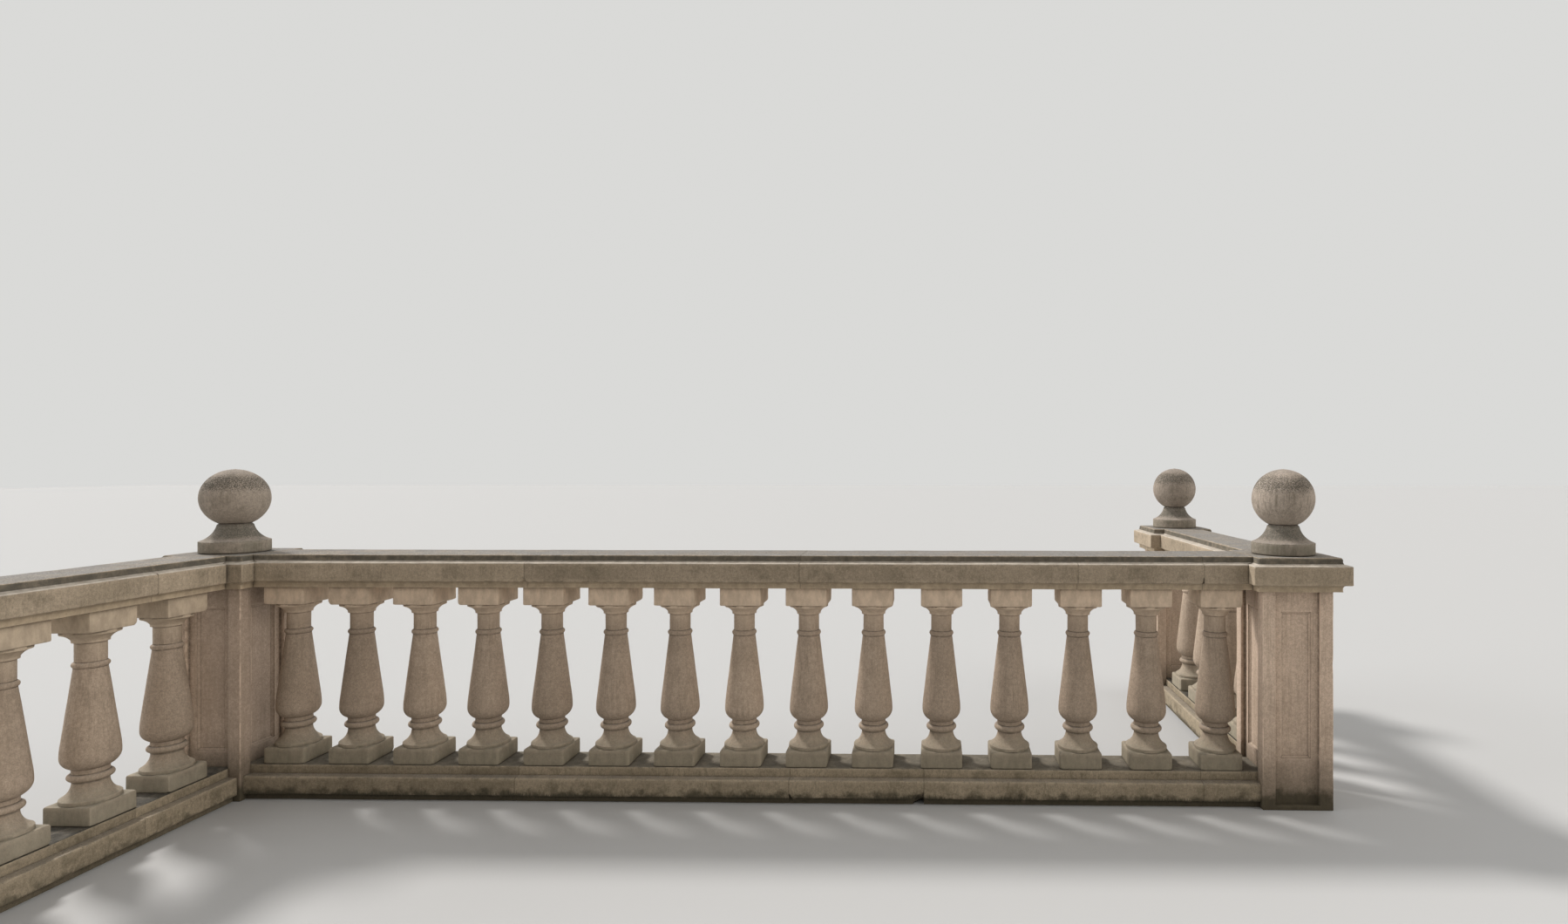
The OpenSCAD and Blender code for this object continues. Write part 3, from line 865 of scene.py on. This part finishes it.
def finial(who, index, material):
    """A finial: round base disc, hollow neck, and the ball bedded on it."""
    core = 0.02
    disc_top, neck_top, bed = RAIL_TOP + DISC_H, RAIL_TOP + FINIAL_NECK, RAIL_TOP + BALL_BED
    base = [
        (core, RAIL_TOP, 0),
        (DISC_R - 0.002, RAIL_TOP, 0.4),
        (DISC_R, RAIL_TOP + 0.004, 0),
        (DISC_R, disc_top - 0.002, 1.0),
        *smooth(hollow_curve((DISC_R - 0.005, disc_top), (FINIAL_NECK_R, neck_top), FINIAL_HOLLOW, 10)),
        (BALL_BED_R, bed, 0),
        (core, bed, 0),
    ]
    turned(who + "_finial_base", base, index, 600, material)
    middle = bed + math.sqrt(BALL_R**2 - BALL_BED_R**2)
    start = math.degrees(math.asin((bed - middle) / BALL_R))
    ball = [(core, bed, 0), *smooth(arc(0, middle, BALL_R, start, 89.2, 44))]
    turned(who + "_finial_ball", ball, index, 640, material)


# Finishes


class Recipe:
    """Lays out one node tree, a step at a time."""

    def __init__(self, tree):
        self.tree = tree

    def add(self, kind, sockets=None, **settings):
        made = self.tree.nodes.new(kind)
        for label, value in settings.items():
            setattr(made, label, value)
        for label, value in (sockets or {}).items():
            if isinstance(value, bpy.types.NodeSocket):
                self.tree.links.new(value, made.inputs[label])
            else:
                made.inputs[label].default_value = value
        return made

    def maths(self, operation, first, second=0.0):
        return self.add("ShaderNodeMath", {0: first, 1: second}, operation=operation).outputs[0]

    def times(self, first, *others):
        for other in others:
            first = self.maths("MULTIPLY", first, other)
        return first

    def plus(self, first, *others):
        for other in others:
            first = self.maths("ADD", first, other)
        return first

    def minus(self, first, second):
        return self.maths("SUBTRACT", first, second)

    def step(self, value, low, high, to_low=0.0, to_high=1.0):
        """Turns a value smoothly from to_low at low to to_high at high."""
        sockets = {"Value": value, "From Min": low, "From Max": high, "To Min": to_low, "To Max": to_high}
        made = self.add("ShaderNodeMapRange", sockets, interpolation_type="SMOOTHSTEP")
        return made.outputs["Result"]

    def fade(self, value, low, high):
        """1 at low, turning to 0 at high."""
        return self.step(value, low, high, 1.0, 0.0)

    def noise(self, place, scale, detail, rough):
        sockets = {"Vector": place, "Scale": scale, "Detail": detail, "Roughness": rough}
        return self.add("ShaderNodeTexNoise", sockets).outputs["Fac"]

    def patches(self, place, scale, detail, rough, low, high, to_low=0.0, to_high=1.0):
        """Noise gathered into patches."""
        return self.step(self.noise(place, scale, detail, rough), low, high, to_low, to_high)

    def blend(self, amount, first, second):
        return self.add("ShaderNodeMix", {0: amount, 6: first, 7: second}, data_type="RGBA").outputs[2]

    def shade(self, colour, value):
        """A colour made lighter or darker."""
        return self.add("ShaderNodeHueSaturation", {"Color": colour, "Value": value}).outputs["Color"]

    def place(self, stretch=(1, 1, 1)):
        where = self.add("ShaderNodeTexCoord").outputs["Object"]
        return self.add("ShaderNodeMapping", {"Vector": where, "Scale": stretch}).outputs["Vector"]

    def part(self, vector, axis):
        return self.add("ShaderNodeSeparateXYZ", {"Vector": vector}).outputs[axis]

    def facing_up(self):
        return self.part(self.add("ShaderNodeNewGeometry").outputs["Normal"], "Z")

    def upright(self):
        """1 on upright faces, fading to 0 on level ones."""
        return self.fade(self.maths("ABSOLUTE", self.facing_up()), 0.35, 0.80)

    def marked(self, label):
        return self.add("ShaderNodeAttribute", attribute_name=label).outputs["Fac"]

    def effect(self, group, sockets):
        """Places a shared effect with this material's own values."""
        return self.add("ShaderNodeGroup", sockets, node_tree=group).outputs

    def link(self, sockets, **values):
        """Wires values to the sockets of the same names, with a space for each underscore."""
        for label, value in values.items():
            self.tree.links.new(value, sockets[label.replace("_", " ")])
        return self.tree


def new_effect(name, takes, gives=("Mask",)):
    """An empty shared effect, from its inputs with their usual values and its outputs' names. Only
    the output named Colour is a colour."""
    group = bpy.data.node_groups.new(name, "ShaderNodeTree")
    for label, usual in takes.items():
        kind = "NodeSocketColor" if isinstance(usual, tuple) else "NodeSocketFloat"
        group.interface.new_socket(label, in_out="INPUT", socket_type=kind).default_value = usual
    for label in gives:
        kind = "NodeSocketColor" if label == "Colour" else "NodeSocketFloat"
        group.interface.new_socket(label, in_out="OUTPUT", socket_type=kind)
    recipe = Recipe(group)
    return recipe, recipe.add("NodeGroupInput").outputs, recipe.add("NodeGroupOutput").inputs


def body_tones():
    """The stone's own colour: broad clouds, smaller mottling and fine sand."""
    takes = {"Light": (0.5, 0.4, 0.3, 1), "Mid": (0.4, 0.3, 0.2, 1), "Dark": (0.2, 0.2, 0.1, 1)}
    recipe, take, give = new_effect("Body tones", {**takes, "Mottling": 0.5}, ("Colour",))
    place = recipe.place()
    clouds = recipe.patches(place, 2.3, 4, 0.6, 0.36, 0.64)
    mottling = recipe.patches(place, 13, 6, 0.62, 0.46, 0.74)
    coarse = recipe.patches(place, 85, 4, 0.75, 0.34, 0.66, 0.88, 1.12)
    sand = recipe.patches(place, 260, 3, 0.7, 0.3, 0.7, 0.86, 1.14)
    colour = recipe.blend(clouds, take["Mid"], take["Light"])
    colour = recipe.blend(recipe.times(mottling, take["Mottling"]), colour, take["Dark"])
    return recipe.link(give, Colour=recipe.shade(colour, recipe.times(coarse, sand)))


def rain_streaks():
    """Stains that rain has drawn down upright faces."""
    recipe, take, give = new_effect("Rain streaks", {"Breadth": 34.0, "Length": 0.05})
    where = recipe.add("ShaderNodeTexCoord").outputs["Object"]
    across = recipe.add("ShaderNodeCombineXYZ", {"X": 1.0, "Y": 1.0, "Z": take["Length"]}).outputs["Vector"]
    drawn = recipe.add("ShaderNodeVectorMath", {0: where, 1: across}, operation="MULTIPLY").outputs["Vector"]
    broad = recipe.noise(drawn, take["Breadth"], 4, 0.65)
    thin = recipe.noise(drawn, recipe.times(take["Breadth"], 3.6), 3, 0.6)
    drops = recipe.step(recipe.plus(recipe.times(broad, 0.55), recipe.times(thin, 0.45)), 0.44, 0.64)
    patchy = recipe.patches(where, 5.0, 3, 0.6, 0.32, 0.62, 0.25, 1.0)
    return recipe.link(give, Mask=recipe.times(drops, patchy, recipe.upright()))


def drip_line():
    """Dark marks that hang along a lower edge, each its own length."""
    recipe, take, give = new_effect("Drip line", {"Edge height": 0.0, "Reach": 0.02})
    flat = recipe.place((1, 1, 0.02))
    lengths = recipe.patches(flat, 120, 4, 0.7, 0.34, 0.74)
    patchy = recipe.patches(flat, 3.1, 2, 0.5, 0.38, 0.60, 0.25, 1.0)
    lengths = recipe.times(lengths, patchy, take["Reach"])
    above = recipe.minus(recipe.part(recipe.place(), "Z"), take["Edge height"])
    within = recipe.step(recipe.minus(lengths, recipe.maths("ABSOLUTE", above)), -0.003, 0.006)
    return recipe.link(give, Mask=recipe.times(within, recipe.upright()))


def height_band():
    """What marks the stone between two levels: soot beside an upper moulding that keeps the rain off, clean
    stone under a coping that shelters it, painted shade on plinth tops, on the heads of the runs going back
    and under a finial's ball, and a painted highlight along the coping's ledge."""
    takes = {"Foot": 0.0, "Head": 1.0, "Fade": 0.004, "Ragged": 0.5, "On level": 0.0}
    recipe, take, give = new_effect("Height band", takes)
    place = recipe.place()
    height = recipe.part(place, "Z")
    low = recipe.step(height, take["Foot"], recipe.plus(take["Foot"], take["Fade"]))
    high = recipe.fade(height, recipe.minus(take["Head"], take["Fade"]), take["Head"])
    ragged = recipe.patches(place, 24, 5, 0.7, 0.34, 0.60, recipe.minus(1.0, take["Ragged"]), 1.0)
    lean = recipe.step(recipe.facing_up(), 0.75, 0.95, 1.0, take["On level"])
    return recipe.link(give, Mask=recipe.times(low, high, ragged, lean))


def lichen():
    """Dark lichen in fine specks, thickest where the stone faces the sky, and some pale crusts."""
    takes = {"Amount": 0.5, "Reach": 0.2, "On level": 0.5}
    recipe, take, give = new_effect("Lichen", takes, ("Mask", "Pale"))
    place = recipe.place()
    lean = recipe.facing_up()
    sky = recipe.step(lean, take["Reach"], recipe.plus(take["Reach"], 0.45))
    sky = recipe.times(sky, recipe.step(lean, 0.66, 0.90, 1.0, take["On level"]))
    specks = recipe.times(recipe.patches(place, 270, 3, 0.7, 0.32, 0.68), 0.38)
    blots = recipe.times(recipe.noise(place, 120, 4, 0.7), 0.37)
    spread = recipe.times(recipe.noise(place, 9, 3, 0.6), 0.25)
    need = recipe.minus(0.68, recipe.times(sky, take["Amount"], 0.22))
    mask = recipe.step(recipe.plus(specks, blots, spread), need, recipe.plus(need, 0.20))
    pale = recipe.times(recipe.patches(place, 130, 4, 0.7, 0.44, 0.74), sky)
    return recipe.link(give, Mask=mask, Pale=pale)


def foot_grime():
    """Splash and damp that darken the stone near the ground."""
    recipe, take, give = new_effect("Foot grime", {"Height": 0.05, "Fade": 0.05})
    place = recipe.place()
    ragged = recipe.times(recipe.minus(recipe.noise(place, 17, 6, 0.65), 0.5), 0.13)
    level = recipe.plus(recipe.part(place, "Z"), ragged)
    mask = recipe.fade(level, take["Height"], recipe.plus(take["Height"], take["Fade"]))
    return recipe.link(give, Mask=mask)


def crevice_shade_and_grime():
    """Painted shade and dirt where faces meet: creases that light hardly reaches and hollows are darkened in
    the colour, as shade and as dirt, and so are the joints.
    """
    recipe, take, give = new_effect("Crevice shade and grime", {"Reach": 0.03})
    # Ambient occlusion: painted shade in the creases, darkening the colour where light hardly reaches
    shelter = recipe.add("ShaderNodeAmbientOcclusion", {"Distance": take["Reach"]}, samples=6)
    closed = recipe.fade(shelter.outputs["AO"], 0.30, 0.86)
    ragged = recipe.patches(recipe.place(), 45, 5, 0.7, 0.30, 0.62, 0.35, 1.0)
    settled = recipe.maths("MAXIMUM", closed, recipe.step(recipe.marked("hollow"), 0.15, 0.85))
    mask = recipe.maths("MAXIMUM", recipe.times(settled, ragged), recipe.marked("joint"))
    return recipe.link(give, Mask=mask)


def arris_wear():
    """Where the arrises have been rubbed and knocked down to fresher stone."""
    recipe, take, give = new_effect("Arris wear", {"Amount": 0.5})
    broken = recipe.patches(recipe.place(), 26, 5, 0.65, 0.40, 0.60)
    return recipe.link(give, Mask=recipe.times(recipe.marked("arris"), broken, take["Amount"]))


def sandy_face():
    """The sandy face of cast stone, with pits where air was trapped."""
    recipe, take, give = new_effect("Sandy face", {"Pitting": 0.5}, ("Height", "Pits"))
    place = recipe.place()
    cells = recipe.add("ShaderNodeTexVoronoi", {"Vector": place, "Scale": 165.0, "Randomness": 1.0})
    chosen = recipe.patches(place, 30, 3, 0.6, 0.50, 0.62)
    pits = recipe.times(recipe.fade(cells.outputs["Distance"], 0.16, 0.30), chosen, take["Pitting"])
    coarse = recipe.times(recipe.noise(place, 95, 5, 0.7), 0.55)
    fine = recipe.times(recipe.noise(place, 420, 3, 0.6), 0.30)
    height = recipe.minus(recipe.plus(coarse, fine), recipe.times(pits, 1.1))
    return recipe.link(give, Height=height, Pits=pits)


# What every finish shares: colours of stone bleached on its upper faces, of pale lichen, and of the dirt and
# painted shade in crevices
BLEACHED = (0.205, 0.202, 0.196)
CRUST = (0.42, 0.395, 0.36)
SHADE_AND_GRIME = (0.075, 0.062, 0.045)

# How much lighter a shade of 1 is, and the fresh stone under worn arrises
SHADE_STEP = 0.10
FRESHER = 1.28

# Amounts of arris wear, of soot in the pits and of pale lichen, and how far dirt and painted shade reach
# from a crevice
WEAR = 0.7
SOOTY_PITS = 0.40
CRUSTS = 0.30
SHADE_AND_GRIME_REACH = 0.022


def weathered_stone(name, effects, look):
    """A cast stone finish: its own tones, then stains, wear, lichen, bands, dirt with painted shade in the
    crevices, and damp over them. Some of the bands are painted shade, and one is a painted highlight.
    """
    material = bpy.data.materials.new(name)
    material.use_nodes = True
    recipe = Recipe(material.node_tree)
    shader = material.node_tree.nodes["Principled BSDF"]
    clouds = recipe.patches(recipe.place((1, 1, 0.45)), 30, 5, 0.68, 0.32, 0.68, 0.84, 1.16)

    def masked(which, **values):
        sockets = {label.replace("_", " "): value for label, value in values.items()}
        return recipe.effect(effects[which], sockets)["Mask"]

    def cover(colour, mask, amount, over, clouded=False):
        over = (*over, 1.0)
        if clouded:
            over = recipe.shade(over, clouds)
        return recipe.blend(recipe.times(mask, amount), colour, over)

    light, mid, dark = ((*tone, 1.0) for tone in look["tones"])
    takes = {"Light": light, "Mid": mid, "Dark": dark, "Mottling": look["mottling"]}
    own = recipe.effect(effects["tones"], takes)["Colour"]
    colour = recipe.shade(own, recipe.plus(recipe.times(recipe.marked("tone"), SHADE_STEP), 1.0))
    amount, breadth, length = look["streaks"]
    colour = cover(colour, masked("streaks", Breadth=breadth, Length=length), amount, look["stain"])
    amount, lowest = look["bleach"]
    place = recipe.place()
    above = recipe.step(recipe.part(place, "Z"), lowest, lowest + 0.004)
    level = recipe.step(recipe.facing_up(), 0.70, 0.97)
    patchy = recipe.patches(place, 11, 6, 0.7, 0.34, 0.62, 0.55, 1.0)
    colour = cover(colour, recipe.times(above, level, patchy), amount, BLEACHED)
    face = recipe.effect(effects["face"], {"Pitting": look["pitting"]})
    colour = cover(colour, face["Pits"], SOOTY_PITS, look["soot"])
    fresh = [min(1.0, part * FRESHER) for part in look["tones"][0]]
    colour = cover(colour, masked("wear", Amount=WEAR), 1.0, fresh)
    spread, reach, on_level, density = look["lichen"]
    growth = recipe.effect(effects["lichen"], {"Amount": spread, "Reach": reach, "On level": on_level})
    colour = cover(colour, growth["Pale"], CRUSTS, CRUST)
    colour = cover(colour, growth["Mask"], density, look["soot"])
    for height, reach, amount in look.get("drips", ()):
        colour = cover(colour, masked("drips", Edge_height=height, Reach=reach), amount, look["soot"])
    # Bands between two levels: stains and clean stone, painted shade on plinth tops, on the heads of the
    # runs going back and under the finials' balls, and a painted highlight on the coping's ledge
    for foot, head, fade, ragged, on_level, amount, over in look.get("bands", ()):
        band = masked("band", Foot=foot, Head=head, Fade=fade, Ragged=ragged, On_level=on_level)
        colour = cover(colour, band, amount, over, clouded=True)
    # Painted shade and dirt: crevices, hollows and joints darkened in the colour
    colour = cover(colour, masked("shade_and_grime", Reach=SHADE_AND_GRIME_REACH), look["crevices"], SHADE_AND_GRIME)
    for height, fade, amount in look.get("damp", ()):
        damp = masked("grime", Height=height, Fade=fade)
        colour = cover(colour, damp, amount, look["grime"], clouded=True)
    dull = recipe.patches(recipe.place(), 30, 4, 0.6, 0.3, 0.7, 0.80, 0.97)
    relief = recipe.plus(face["Height"], recipe.times(growth["Mask"], 0.08))
    bump = recipe.add("ShaderNodeBump", {"Height": relief, "Strength": 0.8, "Distance": 0.0030})
    recipe.link(shader.inputs, Base_Color=colour, Roughness=dull, Normal=bump.outputs["Normal"])
    shader.inputs["Specular IOR Level"].default_value = 0.10
    return material


# What each finish is made of
# tones: light, mid and dark stone; mottling and pitting: how much of each
# stain, soot and grime: the colours of streaks, of lichen, drips and pits, and of damp
# bleach: amount, and the level above which upper faces are bleached
# streaks: amount, breadth and length
# lichen: amount, how far it reaches down the sides, its share on level faces, and density
# drips: height of the edge, reach and amount
# bands: foot, head, fade, raggedness, share on level faces, amount and colour
# crevices: amount of dirt and painted shade in them
# damp: height, fade and amount
LOOKS = {
    "baluster": {
        "tones": ((0.385, 0.304, 0.232), (0.328, 0.258, 0.195), (0.235, 0.184, 0.138)),
        "mottling": 0.35,
        "pitting": 0.14,
        "stain": (0.215, 0.168, 0.122),
        "soot": (0.105, 0.090, 0.072),
        "grime": (0.218, 0.198, 0.145),
        "bleach": (0.45, 0.0),
        "streaks": (0.55, 62.0, 0.07),
        "lichen": (0.35, 0.1, 0.5, 0.5),
        "bands": ((0.68, 1.20, 0.18, 0.12, 0.0, 0.92, (0.60, 0.475, 0.355)),),
        "crevices": 0.72,
        "damp": ((0.180, 0.150, 0.66), (0.150, 0.040, 0.30)),
    },
    "pier": {
        "tones": ((0.560, 0.437, 0.340), (0.480, 0.373, 0.288), (0.345, 0.268, 0.202)),
        "mottling": 0.35,
        "pitting": 0.14,
        "stain": (0.310, 0.242, 0.178),
        "soot": (0.100, 0.088, 0.070),
        "grime": (0.058, 0.050, 0.032),
        "bleach": (0.40, 0.0),
        "streaks": (0.50, 55.0, 0.05),
        "lichen": (0.2, 0.2, 0.5, 0.5),
        "crevices": 0.66,
        "damp": ((0.095, 0.190, 0.60), (0.042, 0.060, 0.88)),
    },
    "coping": {
        "tones": ((0.360, 0.292, 0.214), (0.286, 0.232, 0.167), (0.188, 0.154, 0.109)),
        "mottling": 0.78,
        "pitting": 0.4,
        "stain": (0.150, 0.124, 0.086),
        "soot": (0.082, 0.075, 0.062),
        "bleach": (0.88, 1.015),
        "streaks": (0.42, 95.0, 0.16),
        "lichen": (1.20, 0.2, 0.85, 0.62),
        "drips": ((FASCIA_FOOT, 0.008, 0.50),),
        "bands": (
            (1.004, 1.031, 0.004, 0.30, 0.0, 0.92, (0.084, 0.077, 0.063)),
            # Painted highlight: a pale line along the ledge, as if light caught it
            (0.997, 1.0085, 0.0015, 0.30, 1.0, 0.80, (0.470, 0.424, 0.365)),
            (0.885, FASCIA_FOOT, 0.003, 0.35, 0.0, 0.75, (0.460, 0.366, 0.255)),
        ),
        "crevices": 0.60,
    },
    "finial": {
        "tones": ((0.360, 0.302, 0.250), (0.284, 0.239, 0.194), (0.190, 0.160, 0.125)),
        "mottling": 0.7,
        "pitting": 0.3,
        "stain": (0.150, 0.126, 0.094),
        "soot": (0.062, 0.057, 0.046),
        "bleach": (0.30, 0.0),
        "streaks": (0.80, 60.0, 0.08),
        "lichen": (1.45, 0.0, 0.30, 0.84),
        "bands": (
            # The neck and disc under the ball darkened in ragged patches: painted shade under the ball
            (1.086, 1.160, 0.012, 0.6, 0.0, 0.62, (0.115, 0.107, 0.088)),
            (1.030, 1.086, 0.003, 0.8, 0.0, 0.56, (0.140, 0.132, 0.098)),
        ),
        "crevices": 0.66,
    },
    "plinth": {
        "tones": ((0.315, 0.260, 0.186), (0.245, 0.201, 0.141), (0.148, 0.122, 0.083)),
        "mottling": 0.80,
        "pitting": 0.5,
        "stain": (0.118, 0.100, 0.066),
        "soot": (0.072, 0.065, 0.048),
        "grime": (0.052, 0.046, 0.031),
        "bleach": (0.35, 0.0),
        "streaks": (0.50, 60.0, 0.30),
        "lichen": (0.8, 0.1, 0.7, 0.55),
        "drips": ((PLINTH_FOOT, 0.026, 0.70),),
        # The plinth's top darkened between the feet: partly dirt, partly painted shade
        "bands": ((0.1365, 0.200, 0.001, 0.45, 1.0, 0.70, (0.095, 0.088, 0.070)),),
        "crevices": 0.70,
        "damp": ((0.024, 0.040, 0.85),),
    },
}

# The runs from front to back have duller heads, painted as shade to offset the light that falls on them,
# feet with a lighter grime, partly painted light, and their plinths' tops painted dark as shade, with fewer
# drips and less damp
SIDE_LOOKS_WITH_PAINTED_SHADE = {
    "baluster": {
        # Painted shade: the heads' pale band duller here, to offset the light on them; the grime lighter,
        # partly painted light
        "bands": ((0.68, 1.20, 0.18, 0.12, 0.0, 0.92, (0.460, 0.374, 0.276)),),
        "grime": (0.240, 0.220, 0.166),
    },
    "plinth": {
        # Painted shade: the plinth's top drawn dark, as it lies in shadow
        "bands": ((0.1365, 0.200, 0.001, 0.30, 1.0, 0.92, (0.040, 0.038, 0.033)),),
        "drips": ((PLINTH_FOOT, 0.026, 0.35),),
        "damp": ((0.020, 0.030, 0.60),),
    },
}
LOOKS.update({"side_" + which: {**LOOKS[which], **changes} for which, changes in SIDE_LOOKS_WITH_PAINTED_SHADE.items()})


def finishes():
    """Every stone finish, sharing one set of effects."""
    effects = {
        "tones": body_tones(),
        "streaks": rain_streaks(),
        "drips": drip_line(),
        "band": height_band(),
        "lichen": lichen(),
        "grime": foot_grime(),
        "shade_and_grime": crevice_shade_and_grime(),
        "wear": arris_wear(),
        "face": sandy_face(),
    }
    return {
        which: weathered_stone(which.replace("_", " ").capitalize() + " stone", effects, look)
        for which, look in LOOKS.items()
    }


# Stage, light and camera


def stage():
    """A plain pale floor that runs out to a pale background."""
    far = 60
    corners = [(-far, -far, 0), (far, -far, 0), (far, far, 0), (-far, far, 0)]
    mesh = bpy.data.meshes.new("floor")
    mesh.from_pydata(corners, [], [(0, 1, 2, 3)])
    material = bpy.data.materials.new("Pale floor")
    material.use_nodes = True
    shader = material.node_tree.nodes["Principled BSDF"]
    shader.inputs["Base Color"].default_value = (0.408, 0.410, 0.408, 1)
    shader.inputs["Roughness"].default_value = 0.95
    shader.inputs["Specular IOR Level"].default_value = 0.1
    mesh.materials.append(material)
    placed("floor", mesh)


def sky():
    """Soft light from all round, stronger from behind the balustrade, seen as a pale background."""
    world = bpy.data.worlds.new("studio")
    bpy.context.scene.world = world
    world.use_nodes = True
    recipe = Recipe(world.node_tree)
    recipe.tree.nodes.clear()
    behind = recipe.part(recipe.add("ShaderNodeTexCoord").outputs["Generated"], "Y")
    tint = recipe.blend(recipe.step(behind, -0.6, 0.6), (1.0, 0.955, 0.90, 1), (0.97, 0.985, 1.0, 1))
    level = recipe.step(behind, -0.6, 0.6, 0.50, 0.84)
    light = recipe.add("ShaderNodeBackground", {"Color": tint, "Strength": level})
    seen = recipe.add("ShaderNodeBackground", {"Color": (0.70, 0.70, 0.685, 1), "Strength": 1.0})
    rays = recipe.add("ShaderNodeLightPath").outputs
    to_camera = recipe.maths("MAXIMUM", rays["Is Camera Ray"], rays["Is Glossy Ray"])
    to_camera = recipe.maths("MAXIMUM", to_camera, rays["Is Transmission Ray"])
    both = recipe.add("ShaderNodeMixShader", {0: to_camera, 1: light.outputs[0], 2: seen.outputs[0]})
    recipe.add("ShaderNodeOutputWorld", {"Surface": both.outputs[0]})


def lamp(name, azimuth, elevation, strength, softness, colour):
    """A distant soft lamp. Azimuth is the side it shines from, 0 for +X and 90 for +Y."""
    light = bpy.data.lights.new(name, "SUN")
    light.energy = strength
    light.angle = math.radians(softness)
    light.color = colour
    turn = (math.radians(90 - elevation), 0, math.radians(azimuth + 90))
    placed(name, light).rotation_euler = turn


def camera():
    """The photograph's view."""
    view = bpy.data.cameras.new("photograph")
    view.sensor_width = 36
    view.lens = 18.748
    view.shift_x = -0.0820
    view.shift_y = 0.0033
    view.clip_end = 200
    holder = placed("photograph", view)
    holder.location = (0.7598, -2.9176, 1.4001)
    holder.rotation_euler = (math.pi / 2, 0, 0.0200)
    bpy.context.scene.camera = holder


stage()
sky()
lamp("back_light", azimuth=146, elevation=46, strength=3.2, softness=9, colour=(1.0, 0.965, 0.935))
lamp("right_light", azimuth=-12, elevation=22, strength=1.35, softness=60, colour=(1.0, 0.96, 0.91))
lamp("left_light", azimuth=182, elevation=14, strength=1.65, softness=45, colour=(0.96, 0.98, 1.0))
camera()
bpy.context.scene.view_settings.view_transform = "Standard"

stones = finishes()
plinth(stones["plinth"], stones["side_plinth"])
coping(stones["coping"])
balusters(stones["baluster"], stones["side_baluster"])
for order, who in enumerate(("left", "right", "far", "wing_end")):
    pier(who + "_pier_stone", who + "_pier", order, stones["pier"])
    cap(who + "_cap_stone", who + "_cap", order, stones["coping"])
    finial(who, order, stones["finial"])
